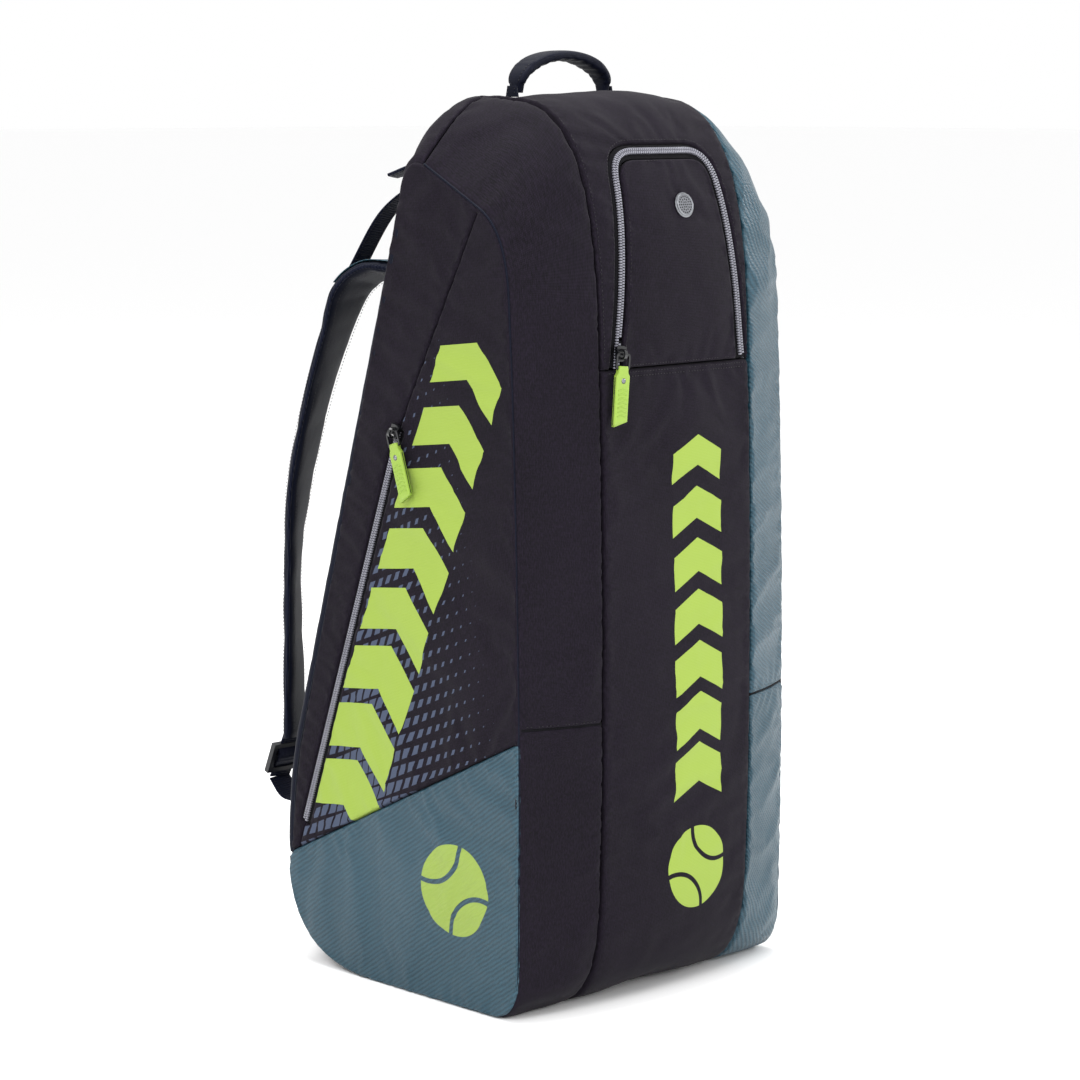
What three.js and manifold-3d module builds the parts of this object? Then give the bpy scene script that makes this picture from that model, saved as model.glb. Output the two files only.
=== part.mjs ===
// Racket tournament bag: a tall padded carrier for six rackets, standing on its base.
// Millimetres, +Z up, front towards -Y, back (shoulder straps) towards +Y.
// The origin is on the ground, under the flat of the base, midway between the side panels.
import * as THREE from "three";
import { mergeVertices } from "three/addons/utils/BufferGeometryUtils.js";
import Module from "manifold-3d";

const wasm = await Module();
wasm.setup();

// ---- driving dimensions -------------------------------------------------------------------
const HALF_WIDTH = 165; // half the width over the two flat side panels
const SEAM_X = 91; // the main zip runs round the bag at this distance from the middle
const WALL = 6; // padded wall of the gussets and the centre panels
const SIDE_WALL = 5; // padded side panels
const BACK_WALL = 8; // padded back panel
const GAP = 0.3; // between neighbouring pieces
const SEAM_GAP = 1; // half the slit over the main zip
const BACK_FOOT = { y: 143, z: 96 }; // where the back panel starts, above the rounded heel
const BACK_KNEE = { y: 128, z: 214 }; // where the back panel becomes flat
const BACK_SHOULDER = { y: -14, z: 695 }; // the back panel's side edge ends here
const BACK_TOP = { y: -14, z: 755 }; // the back panel's middle ends here
const BACK_CROWN = 10; // how far the back panel's padding stands out in its middle
const GUSSET_SPLIT_Z = 250; // seam between the upper and the lower gusset
const POCKET_SILL_Z = 545; // the front pocket's bottom seam, where its flap folds out

// Each outline runs from the heel, under the base, up the front, over the top, to the back panel.
const v2 = (y, z) => new THREE.Vector2(y, z);
const line = (a, b) => new THREE.LineCurve(a, b);
const bend = (a, c, b) => new THREE.QuadraticBezierCurve(a, c, b);
const backSlope = (BACK_SHOULDER.y - BACK_KNEE.y) / (BACK_SHOULDER.z - BACK_KNEE.z);
const aboveBack = (p, rise) => v2(p.y + backSlope * rise, p.z + rise);

const sideOutline = [
  bend(v2(BACK_FOOT.y, BACK_FOOT.z), v2(140, 0), v2(30, 0)),
  line(v2(30, 0), v2(-120, 0)),
  bend(v2(-120, 0), v2(-154, 0), v2(-155, 45)),
  bend(v2(-155, 45), v2(-157, 150), v2(-156, GUSSET_SPLIT_Z)),
  bend(v2(-156, GUSSET_SPLIT_Z), v2(-154, 400), v2(-148, POCKET_SILL_Z)),
  line(v2(-148, POCKET_SILL_Z), v2(-144, 610)),
  bend(v2(-144, 610), v2(-140, 662), v2(-108, 678)),
  line(v2(-108, 678), v2(-42, 713)),
  bend(v2(-42, 713), aboveBack(BACK_SHOULDER, 26), v2(BACK_SHOULDER.y, BACK_SHOULDER.z)),
];
const centreOutline = [
  bend(v2(BACK_FOOT.y, BACK_FOOT.z), v2(140, 0), v2(30, 0)),
  line(v2(30, 0), v2(-116, 0)),
  bend(v2(-116, 0), v2(-177, 0), v2(-181, 90)),
  bend(v2(-181, 90), v2(-184, 180), v2(-184, GUSSET_SPLIT_Z)),
  bend(v2(-184, GUSSET_SPLIT_Z), v2(-184, 400), v2(-179, POCKET_SILL_Z)),
  line(v2(-179, POCKET_SILL_Z), v2(-176, 600)),
  new THREE.CubicBezierCurve(v2(-176, 600), v2(-171, 692), v2(-148, 762), v2(-80, 767)),
  line(v2(-80, 767), v2(-40, 769)),
  bend(v2(-40, 769), aboveBack(BACK_TOP, 16), v2(BACK_TOP.y, BACK_TOP.z)),
];
// Stations along the outlines: a whole number is the start of that stretch.
const HEEL = 0, BASE = 1, TOE = 2, FRONT = 3, WAIST = 4, SILL = 5, BROW = 6, CROWN = 7, NAPE = 8, END = 9;
// How far the padding stands out in the middle of the centre panel and of a gusset, at each station.
const CENTRE_CROWN = [0, 0, 0, 6, 7, 2, 7, 5, 0, 0];
const GUSSET_CROWN = [0, 0, 0, 3, 3, 3, 7, 10, 12, 7];

// ---- mesh helpers -------------------------------------------------------------------------
const clamp01 = (t) => Math.min(1, Math.max(0, t));
const mix = (a, b, t) => a + (b - a) * t;

function along(values, station) {
  const i = Math.min(Math.floor(station), values.length - 2);
  const t = station - i;
  return mix(values[i], values[i + 1], t * t * (3 - 2 * t));
}

// A point of an outline and its outward normal, in (y, z).
function onOutline(outline, station) {
  const i = Math.min(Math.floor(station), outline.length - 1);
  const t = clamp01(station - i);
  const p = outline[i].getPoint(t);
  const d = outline[i].getTangent(t);
  return { p, n: v2(-d.y, d.x) };
}

// A point of the bag's skin: station along the outline, x across, depth below the outer face.
function skin(station, x, depth) {
  const across = Math.abs(x);
  const f = clamp01((across - SEAM_X) / (HALF_WIDTH - SEAM_X));
  const c = onOutline(centreOutline, station);
  const s = onOutline(sideOutline, station);
  const n = c.n.clone().lerp(s.n, f).normalize();
  const centreRise = along(CENTRE_CROWN, station) * (1 - (across / SEAM_X) ** 2);
  const gussetRise = along(GUSSET_CROWN, station) * 4 * f * (1 - f);
  const rise = (across < SEAM_X ? centreRise : gussetRise) - depth;
  const p = c.p.clone().lerp(s.p, f).addScaledVector(n, rise);
  return new THREE.Vector3(x, p.x, p.y);
}

// The centre panel's face at x and height z above the sill, at a depth below its outer face.
function frontFace(x, z, depth) {
  let low = SILL;
  let high = CROWN;
  for (let i = 0; i < 30; i++) {
    const mid = (low + high) / 2;
    if (skin(mid, x, 0).z < z) low = mid;
    else high = mid;
  }
  return skin(low, x, depth);
}

// A closed solid between two grids of points with the same rows and columns.
function gridSolid(outer, inner) {
  const rows = outer.length;
  const cols = outer[0].length;
  const points = [...outer.flat(), ...inner.flat()];
  const at = (side, i, j) => side * rows * cols + i * cols + j;
  const index = [];
  const quad = (a, b, c, d) => index.push(a, b, c, a, c, d);
  for (let i = 0; i < rows - 1; i++) {
    for (let j = 0; j < cols - 1; j++) {
      quad(at(0, i, j), at(0, i, j + 1), at(0, i + 1, j + 1), at(0, i + 1, j));
      quad(at(1, i, j), at(1, i + 1, j), at(1, i + 1, j + 1), at(1, i, j + 1));
    }
    quad(at(0, i, 0), at(0, i + 1, 0), at(1, i + 1, 0), at(1, i, 0));
    quad(at(0, i + 1, cols - 1), at(0, i, cols - 1), at(1, i, cols - 1), at(1, i + 1, cols - 1));
  }
  for (let j = 0; j < cols - 1; j++) {
    quad(at(0, 0, j + 1), at(0, 0, j), at(1, 0, j), at(1, 0, j + 1));
    quad(at(0, rows - 1, j), at(0, rows - 1, j + 1), at(1, rows - 1, j + 1), at(1, rows - 1, j));
  }
  const geometry = new THREE.BufferGeometry().setFromPoints(points);
  geometry.setIndex(index);
  return facingOut(geometry);
}

// The same geometry with its faces turned so that its volume is positive.
function facingOut(geometry) {
  const p = geometry.getAttribute("position");
  const index = geometry.getIndex().array;
  const corner = (i) => new THREE.Vector3().fromBufferAttribute(p, index[i]);
  let volume = 0;
  for (let i = 0; i < index.length; i += 3) {
    volume += corner(i).dot(corner(i + 1).cross(corner(i + 2)));
  }
  if (volume < 0) {
    for (let i = 0; i < index.length; i += 3) {
      [index[i + 1], index[i + 2]] = [index[i + 2], index[i + 1]];
    }
  }
  return geometry;
}

function spread(from, to, steps) {
  return Array.from({ length: steps + 1 }, (_, i) => mix(from, to, i / steps));
}

// Stations from one to another, with the given steps in each whole stretch.
function stations(from, to, steps) {
  const list = [from];
  for (let s = Math.floor(from); s < to; s++) {
    for (let i = 1; i <= steps[s]; i++) {
      const at = s + i / steps[s];
      if (at > from + 1e-6 && at < to - 1e-6) list.push(at);
    }
  }
  list.push(to);
  return list;
}

// A padded piece of the skin. depths gives [outer, inner] for each x.
function skinSlab(rows, xs, depths) {
  const depth = (j) => (Array.isArray(depths[0]) ? depths[j] : depths);
  return gridSolid(
    rows.map((u) => xs.map((x, j) => skin(u, x, depth(j)[0]))),
    rows.map((u) => xs.map((x, j) => skin(u, x, depth(j)[1]))),
  );
}

function toSolid(geometry) {
  const bare = geometry.index ? geometry.toNonIndexed() : geometry.clone();
  bare.deleteAttribute("normal");
  bare.deleteAttribute("uv");
  const merged = mergeVertices(bare, 1e-4);
  return new wasm.Manifold(
    new wasm.Mesh({
      numProp: 3,
      vertProperties: merged.attributes.position.array,
      triVerts: new Uint32Array(merged.index.array),
    }),
  );
}

function toGeometry(solid) {
  const mesh = solid.getMesh();
  return new THREE.BufferGeometry()
    .setAttribute("position", new THREE.BufferAttribute(new Float32Array(mesh.vertProperties), 3))
    .setIndex(new THREE.BufferAttribute(new Uint32Array(mesh.triVerts), 1));
}

const join = (...parts) => toGeometry(parts.map(toSolid).reduce((a, b) => a.add(b)));
const cut = (body, ...tools) =>
  toGeometry(tools.map(toSolid).reduce((a, b) => a.subtract(b), toSolid(body)));
const common = (a, b) => toGeometry(toSolid(a).intersect(toSolid(b)));

function extrude(shape, depth, curveSegments = 6) {
  return new THREE.ExtrudeGeometry(shape, { depth, bevelEnabled: false, curveSegments });
}

// A shape drawn in (y, z), extruded along x between two values.
function extrudeAlongX(shape, from, to, curveSegments) {
  const basis = new THREE.Matrix4().makeBasis(
    new THREE.Vector3(0, 1, 0),
    new THREE.Vector3(0, 0, 1),
    new THREE.Vector3(1, 0, 0),
  );
  const low = Math.min(from, to);
  const made = extrude(shape, Math.abs(to - from), curveSegments);
  return made.applyMatrix4(basis).translate(low, 0, 0);
}

// A shape drawn in (x, z), extruded along y between two values, from < to.
function extrudeAlongY(shape, from, to, curveSegments) {
  return extrude(shape, to - from, curveSegments).rotateX(Math.PI / 2).translate(0, to, 0);
}

function polygon(...corners) {
  return new THREE.Shape(corners.map(([a, b]) => v2(a, b)));
}

function box(sizeX, sizeY, sizeZ, x = 0, y = 0, z = 0) {
  return new THREE.BoxGeometry(sizeX, sizeY, sizeZ).translate(x, y, z);
}

// ---- materials ----------------------------------------------------------------------------
const finish = (color, roughness, metalness = 0) =>
  new THREE.MeshStandardMaterial({ color, roughness, metalness });
const blackFabric = finish(0x262330, 0.8);
const tealFabric = finish(0x5f7f86, 0.45);
const liningFabric = finish(0x50545e, 0.85);
const webbing = finish(0x12151f, 0.75);
const zipCoil = finish(0x8f919e, 0.5);
const zipMetal = finish(0x16181c, 0.35, 0.8);
const limeRubber = finish(0xa6d438, 0.5);
const eyeletMetal = finish(0xa9abb0, 0.35, 0.9);
const hardPlastic = finish(0x101217, 0.4);
const board = finish(0x3a3b3f, 0.7);

const bag = new THREE.Group();
function add(parent, name, geometry, material) {
  const mesh = new THREE.Mesh(geometry, material);
  mesh.name = name;
  parent.add(mesh);
  return mesh;
}

// ---- carcass: back panel and centre panels -----------------------------------------------
const FULL = [3, 1, 4, 3, 3, 1, 6, 1, 3]; // steps in each stretch of the outlines
const CUT = 0.004; // a station this far from a seam leaves a slit of a few tenths

// How far the back panel stands out at (x, z), where its half width is w.
function backCrown(x, z, w) {
  const t = clamp01((z - BACK_FOOT.z) / (BACK_TOP.z - BACK_FOOT.z));
  return BACK_CROWN * Math.sin(Math.PI * t) * (1 - (x / w) ** 2);
}

// The back panel's edge from foot to top: half width, place in (y, z) and outward normal there.
function backEdge() {
  const foot = v2(BACK_FOOT.y, BACK_FOOT.z);
  const knee = v2(BACK_KNEE.y, BACK_KNEE.z);
  const shoulder = v2(BACK_SHOULDER.y, BACK_SHOULDER.z);
  const heel = bend(foot, v2(BACK_FOOT.y, 165), knee);
  const flat = line(knee, shoulder);
  const edge = (curve, t, w = HALF_WIDTH - GAP) => {
    const d = curve.getTangent(t);
    return { w, p: curve.getPoint(t), n: v2(d.y, -d.x) };
  };
  const top = spread(1 / 4, 1, 3).map((s) => {
    const x = mix(HALF_WIDTH, SEAM_X + SEAM_GAP, s) - GAP;
    const p = skin(END, x, 0);
    return { w: x, p: v2(p.y, p.z - 0.6), n: edge(flat, 1).n };
  });
  return [...[0.01, 0.35, 0.7].map((t) => edge(heel, t)), ...[0, 0.33, 0.66, 1].map((t) => edge(flat, t)), ...top];
}

function backPanel() {
  const face = (depth) =>
    backEdge().map(({ w, p, n }) =>
      spread(-w, w, 6).map((x) => {
        const out = backCrown(x, p.y, w) - depth;
        return new THREE.Vector3(x, p.x + n.x * out, p.y + n.y * out);
      }),
    );
  return gridSolid(face(0), face(BACK_WALL));
}

const carcass = new THREE.Group();
bag.add(carcass);
const centreX = spread(-(SEAM_X - SEAM_GAP), SEAM_X - SEAM_GAP, 6);
const centreSlab = (from, to) =>
  skinSlab(stations(from + CUT, to - CUT, FULL), centreX, [0, WALL]);

add(carcass, "back_panel", backPanel(), blackFabric);
add(carcass, "centre_base", centreSlab(HEEL, TOE), blackFabric);
add(carcass, "centre_front", centreSlab(TOE, SILL), blackFabric);

// ---- front pocket -------------------------------------------------------------------------
const FLAP = { bottom: 77.5, top: 58, height: 179, corner: 25 }; // half widths and height of its zip
const LEAN = { bottom: 3.5, top: 3 }; // where the middle of the zip's arch lies
const TAPE = 6.5; // visible zip tape each side of the chain
const CHAIN = 2.6; // half the width of the closed zip chain

// The arch of the front pocket's zip, in (x, z), moved outwards by grow.
function arch(grow, sill = POCKET_SILL_Z) {
  const { bottom, top, height, corner } = FLAP;
  const edge = (side, h) =>
    mix(LEAN.bottom, LEAN.top, h / height) + side * (grow + mix(bottom, top, h / height));
  const rim = height + grow;
  const r = corner + grow;
  const low = sill - POCKET_SILL_Z;
  const at = (x, h) => v2(x, POCKET_SILL_Z + h);
  const right = [at(edge(1, rim - r), rim - r), at(edge(1, rim), rim), at(edge(1, rim) - r, rim)];
  const left = [at(edge(-1, rim) + r, rim), at(edge(-1, rim), rim), at(edge(-1, rim - r), rim - r)];
  const bendTo = (c, p) => shape.quadraticCurveTo(c.x, c.y, p.x, p.y);
  const shape = new THREE.Shape([at(edge(-1, low), low), at(edge(1, low), low), right[0]]);
  bendTo(right[1], right[2]);
  shape.lineTo(left[0].x, left[0].y);
  bendTo(left[1], left[2]);
  return shape;
}
const archPrism = (grow, sill) => extrudeAlongY(arch(grow, sill), -260, -60, 4);
const upper = centreSlab(SILL, END);
const sill = POCKET_SILL_Z + 2;
add(carcass, "centre_top", cut(upper, archPrism(TAPE, POCKET_SILL_Z - 60)), blackFabric);

const pocketSkin = (from, to) =>
  skinSlab(stations(SILL + CUT, CROWN, FULL), centreX, [from, to]);
const flapFold = new THREE.Group(); // folds out about the sill
bag.add(flapFold);
const belowSill = POCKET_SILL_Z - 60;
// The slider closes the foot of the left leg, so both halves stay with the bag there.
const closedFoot = (grow) => box(16, 240, 2 * (24 + grow), -73.2 + grow, -160, POCKET_SILL_Z + 2);
const outside = cut(archPrism(GAP / 2, belowSill), closedFoot(0));
const TURN_GAP = 0.5; // the flap's zip half clears the other one as the flap folds out
const inside = (grow) => cut(archPrism(-TURN_GAP, sill), closedFoot(GAP), archPrism(grow, belowSill));
const outerRing = cut(archPrism(TAPE - GAP, sill), outside);
const innerRing = inside(-TAPE);
const outerChain = cut(archPrism(CHAIN, sill), outside);
const innerChain = inside(-CHAIN);
const tapeSkin = pocketSkin(2, 4);
const chainSkin = pocketSkin(-0.5, 3);
const zipHalf = (ring, chain) => join(common(tapeSkin, ring), common(chainSkin, chain));
add(carcass, "pocket_zip_outer", zipHalf(outerRing, outerChain), zipCoil);
add(flapFold, "pocket_zip_inner", zipHalf(innerRing, innerChain), zipCoil);

const VENT = { x: 13, z: 678, radius: 10.8, barrel: 7.5, hole: 8 };
const ventSpot = frontFace(VENT.x, VENT.z, 0);
const ventNormal = frontFace(VENT.x, VENT.z, -1).sub(ventSpot).normalize();
const ventTurn = new THREE.Quaternion().setFromUnitVectors(new THREE.Vector3(0, 1, 0), ventNormal);
const atVent = (geometry) =>
  geometry.applyQuaternion(ventTurn).translate(ventSpot.x, ventSpot.y, ventSpot.z);
const flap = common(pocketSkin(0, WALL), archPrism(-TAPE - GAP, sill));
const ventHole = atVent(new THREE.CylinderGeometry(VENT.hole, VENT.hole, 40, 20));
add(flapFold, "pocket_flap", cut(flap, ventHole, closedFoot(GAP)), blackFabric);

function ventEyelet() {
  const lip = 0.5;
  const profile = [
    v2(0, -WALL), v2(VENT.barrel, -WALL), v2(VENT.barrel, lip), v2(VENT.radius, lip),
    v2(VENT.radius, lip + 0.8), v2(VENT.radius - 2, lip + 1.8), v2(5.6, lip + 1.4), v2(5.6, lip), v2(0, lip),
  ];
  return atVent(new THREE.LatheGeometry(profile, 20));
}
add(flapFold, "vent_eyelet", ventEyelet(), eyeletMetal);

// The open-fronted lining box behind the flap.
const POCKET = { half: 85, low: 536, high: 731, back: -112, front: -150, wall: 2 };
function pocketLiner() {
  const { half, low, high, back, wall } = POCKET;
  const shell = common(
    skinSlab(stations(SILL - 0.2, CROWN - 0.1, FULL), spread(-half, half, 4), [WALL + 2, 80]),
    box(2 * half, 200, high - low, 0, back - 100, (low + high) / 2),
  );
  const hollow = box(2 * (half - wall), 200, high - low - 2 * wall, 0, back - wall - 100, (low + high) / 2);
  return cut(shell, hollow);
}
add(carcass, "pocket_liner", pocketLiner(), liningFabric);

// ---- main compartments: divider, base board ----------------------------------------------
function divider() {
  const shape = polygon([128, 100], [68, 14], [-112, 14], [-168, 120], [-170, 530], [-108, 530],
    [-108, 735], [-60, 755], [-42, 750], [-26, 700], [114, 224]);
  return extrudeAlongX(shape, -1.5, 1.5);
}
add(carcass, "centre_divider", divider(), liningFabric);
for (const side of [-1, 1]) {
  const name = side < 0 ? "left" : "right";
  add(carcass, `base_board_${name}`, box(72, 120, 2.5, side * 42, -38, 8), board);
}

// ---- covers: everything that swings out on one side --------------------------------------
const seamLine = { rear: [150, 92], front: [-170, 247] }; // teal base seam on the side panel, (y, z)
const zipTop = { y: -10, z: 489 };
const zipFoot = { y: 119, z: 127 };
const zipLength = Math.hypot(zipFoot.y - zipTop.y, zipFoot.z - zipTop.z);
const zipDown = v2((zipFoot.y - zipTop.y) / zipLength, (zipFoot.z - zipTop.z) / zipLength);
const seamUpper = [-118, 696]; // the dart seam above the zip meets the top edge here
const BAND = 6; // half the width of the side zip's tape

function sidePlate(side) {
  const shape = new THREE.Shape();
  const steps = [4, 1, 5, 2, 3, 1, 5, 1, 4];
  const rim = stations(HEEL, END, steps).map((u) => onOutline(sideOutline, u).p);
  const inward = BACK_WALL + 0.6;
  const rear = backEdge().slice(1, 6).map(({ p, n }) => p.clone().addScaledVector(n, -inward));
  rim[0] = v2(BACK_FOOT.y - inward, BACK_FOOT.z);
  rim[rim.length - 1] = v2(BACK_SHOULDER.y - 10, BACK_SHOULDER.z);
  shape.setFromPoints([...rim, ...rear.reverse()]);
  return extrudeAlongX(shape, side * HALF_WIDTH, side * (HALF_WIDTH - SIDE_WALL));
}

// The three fields of a side panel, as prisms in (y, z).
function sideField(kind, side) {
  const g = GAP / 2;
  const at = (s, off) => [zipTop.y + zipDown.x * s - zipDown.y * off, zipTop.z + zipDown.y * s + zipDown.x * off];
  const [ry, rz] = seamLine.rear;
  const [fy, fz] = seamLine.front;
  const seamAt = (y) => fz + ((y - fy) / (ry - fy)) * (rz - fz);
  const tail = zipLength + 60;
  const shapes = {
    rear: polygon([seamUpper[0] + g, seamUpper[1] + 60], [seamUpper[0] + g, seamUpper[1]],
      at(0, g), at(0, BAND + g), at(zipLength, BAND + g), at(zipLength, g), at(tail, g), [300, 0], [300, 900]),
    print: polygon([seamUpper[0] - g, seamUpper[1] + 60], [seamUpper[0] - g, seamUpper[1]],
      at(0, -g), at(0, -BAND - g), at(zipLength, -BAND - g), at(zipLength, -g), at(tail, -g), [-300, 0], [-300, 900]),
    base: polygon([ry + 60, seamAt(ry + 60) - g], [fy - 60, seamAt(fy - 60) - g], [-300, -50], [300, -50]),
  };
  const above = polygon([ry + 60, seamAt(ry + 60) + g], [fy - 60, seamAt(fy - 60) + g], [-300, 900], [300, 900]);
  const prism = (shape) => extrudeAlongX(shape, side * (HALF_WIDTH + 20), side * (HALF_WIDTH - 20));
  return kind === "base" ? prism(shapes.base) : common(prism(shapes[kind]), prism(above));
}

function sideZip(side) {
  const at = (s, off) => [zipTop.y + zipDown.x * s - zipDown.y * off, zipTop.z + zipDown.y * s + zipDown.x * off];
  const strip = (half, from, to) =>
    extrudeAlongX(
      polygon(at(GAP, -half), at(GAP, half), at(zipLength - GAP, half), at(zipLength - GAP, -half)),
      side * from, side * to);
  return join(
    strip(BAND - GAP, HALF_WIDTH - 3.5, HALF_WIDTH - 1.5),
    strip(CHAIN, HALF_WIDTH - 3.5, HALF_WIDTH + 0.7),
  );
}

// The shallow lining bag of the side pocket, open towards the side panel.
const SIDE_POCKET = { depth: 14, wall: 1.6 };
function sidePocketLiner(side) {
  const { depth, wall } = SIDE_POCKET;
  const outer = HALF_WIDTH - SIDE_WALL - 0.4;
  const shape = polygon([-20, 505], [-135, 470], [-138, 270], [66, 178], [88, 220]);
  const hollow = polygon([-21, 502.5], [-133, 468.5], [-136, 271], [65, 180.5], [86, 221]);
  return cut(
    extrudeAlongX(shape, side * outer, side * (outer - depth)),
    extrudeAlongX(hollow, side * (outer + 1), side * (outer - depth + wall)),
  );
}

function gusset(side, from, to) {
  const xs = spread(side * (HALF_WIDTH - SIDE_WALL - GAP), side * (SEAM_X + SEAM_GAP), 3);
  return skinSlab(stations(from, to, FULL), xs, [0, WALL]);
}

// Half of a main zip: tape under the wall, with the teeth along its inner edge.
function mainTape(side, sign) {
  const edges = [5.5, 3.4, 3.4, GAP].map((d) => side * (SEAM_X + sign * d));
  const xs = [edges[0], edges[1], edges[3]];
  const depths = [[WALL + 2.6, WALL + 3.8], [WALL + 1.8, WALL + 3.4], [WALL + 1.2, WALL + 3.6]];
  return skinSlab(stations(HEEL + 1 / 3, NAPE - CUT, FULL), xs, depths);
}

// ---- zip sliders and pulls ----------------------------------------------------------------
// Local frame: y along the zip, towards its open end's far side, z out of the fabric.
const BAIL_Z = 6.6; // height of the pull's bar over the fabric
function sliderBody() {
  const plate = new THREE.Shape();
  plate.moveTo(-5, 6);
  plate.quadraticCurveTo(0, 8, 5, 6);
  plate.lineTo(3.8, -5);
  plate.quadraticCurveTo(0, -7.5, -3.8, -5);
  const body = extrude(plate, 3.2, 3).translate(0, 0, 1.2);
  const eye = new THREE.Shape();
  eye.moveTo(-4.4, 3);
  eye.lineTo(4.4, 3);
  eye.lineTo(4.4, BAIL_Z);
  eye.absarc(0, BAIL_Z, 4.4, 0, Math.PI, false);
  const hole = new THREE.Path();
  hole.absarc(0, BAIL_Z, 2.9, 0, Math.PI * 2, true);
  eye.holes.push(hole);
  return join(body, extrudeAlongX(eye, -1.4, 1.4, 8));
}

// Rounded wire loop through the slider's eye, hanging towards -y from its bar.
function pullRing() {
  const outline = (w, low, high, r) => {
    const s = new THREE.Shape();
    s.moveTo(-w, low + r);
    s.quadraticCurveTo(-w, low, -w + r, low);
    s.lineTo(w - r, low);
    s.quadraticCurveTo(w, low, w, low + r);
    s.lineTo(w, high - r);
    s.quadraticCurveTo(w, high, w - r, high);
    s.lineTo(-w + r, high);
    s.quadraticCurveTo(-w, high, -w, high - r);
    return s;
  };
  const ring = outline(7.4, -12.9, 0.9, 3);
  ring.holes.push(outline(5.7, -11.2, -0.9, 1.8));
  return extrude(ring, 1.6, 3).translate(0, 0, BAIL_Z - 0.8);
}

// Moulded two-leaf tab folded round the ring's lower bar.
function pullTab() {
  const outline = polygon([-4.9, -9.6], [4.9, -9.6], [4.9, -15], [7, -18], [7, -55], [-7, -60], [-7, -18], [-4.9, -15]);
  const leaf = extrude(outline, 5.4).translate(0, 0, BAIL_Z - 2.7);
  const bar = box(20, 3, 2.4, 0, -12.05, BAIL_Z);
  return cut(leaf, bar);
}

// A group whose local y runs up the zip and whose local z points out of the fabric.
function hardwareFrame(parent, spot, up, out) {
  const y = up.clone().normalize();
  const z = out.clone().sub(y.clone().multiplyScalar(out.dot(y))).normalize();
  const x = y.clone().cross(z);
  const group = new THREE.Group();
  group.applyMatrix4(new THREE.Matrix4().makeBasis(x, y, z).setPosition(spot));
  parent.add(group);
  return group;
}

// Slider, ring and tab. swing turns the ring and tab in the plane of the fabric.
function zipPull(parent, name, swing = 0) {
  add(parent, `${name}_slider`, sliderBody(), zipMetal);
  const hang = new THREE.Group();
  hang.rotation.z = swing;
  parent.add(hang);
  add(hang, `${name}_pull_ring`, pullRing(), zipMetal);
  add(hang, `${name}_pull_tab`, pullTab(), limeRubber);
}

const SIDE_SWING = THREE.MathUtils.degToRad(38); // the side pulls hang across their sloping zip
for (const side of [-1, 1]) {
  const name = side < 0 ? "left" : "right";
  const cover = new THREE.Group();
  bag.add(cover);
  const plate = sidePlate(side);
  const tealGusset = side > 0 ? tealFabric : blackFabric;
  add(cover, `side_rear_${name}`, common(plate, sideField("rear", side)), blackFabric);
  add(cover, `side_print_${name}`, common(plate, sideField("print", side)), blackFabric);
  add(cover, `side_base_${name}`, common(plate, sideField("base", side)), tealFabric);
  add(cover, `gusset_lower_${name}`, gusset(side, HEEL + CUT, WAIST - CUT), tealGusset);
  add(cover, `gusset_upper_${name}`, gusset(side, WAIST + CUT, NAPE - CUT), tealGusset);
  add(carcass, `top_corner_${name}`, gusset(side, NAPE + CUT, END - CUT), blackFabric);
  add(cover, `main_zip_cover_${name}`, mainTape(side, 1), zipCoil);
  add(carcass, `main_zip_centre_${name}`, mainTape(side, -1), zipCoil);
  add(cover, `side_zip_${name}`, sideZip(side), zipCoil);
  add(cover, `side_pocket_liner_${name}`, sidePocketLiner(side), liningFabric);

  const zipSpot = new THREE.Vector3(side * HALF_WIDTH, zipTop.y + zipDown.x * 2, zipTop.z + zipDown.y * 2);
  const zipUp = new THREE.Vector3(0, -zipDown.x, -zipDown.y);
  const frame = hardwareFrame(cover, zipSpot, zipUp, new THREE.Vector3(side, 0, 0));
  zipPull(frame, `side_zip_${name}`, -side * SIDE_SWING);

  const mainSpot = skin(HEEL + 0.3, side * SEAM_X, -0.5);
  const mainUp = skin(HEEL, side * SEAM_X, 0).sub(skin(HEEL + 0.2, side * SEAM_X, 0));
  const mainFrame = hardwareFrame(carcass, mainSpot, mainUp, new THREE.Vector3(0, 1, 0));
  add(mainFrame, `main_zip_${name}_slider`, sliderBody(), zipMetal);
}

// The pocket's slider, parked at the foot of the left leg of the arch.
const legFoot = new THREE.Vector3(LEAN.bottom - FLAP.bottom + 0.9, 0, POCKET_SILL_Z + 13);
const legHead = new THREE.Vector3(LEAN.bottom - FLAP.bottom + 4.9, 0, POCKET_SILL_Z + 52);
const legStart = frontFace(legFoot.x, legFoot.z, -0.9);
const legEnd = frontFace(legHead.x, legHead.z, -0.9);
const legFrame = hardwareFrame(bag, legStart, legEnd.clone().sub(legStart), new THREE.Vector3(-0.12, -1, 0));
zipPull(legFrame, "pocket_zip", 0.02);

// ---- top handle ---------------------------------------------------------------------------
const HANDLE = { half: 52, rise: 23, width: 28, root: 15, thick: 7, pivotZ: 779, y: -38 };

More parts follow.
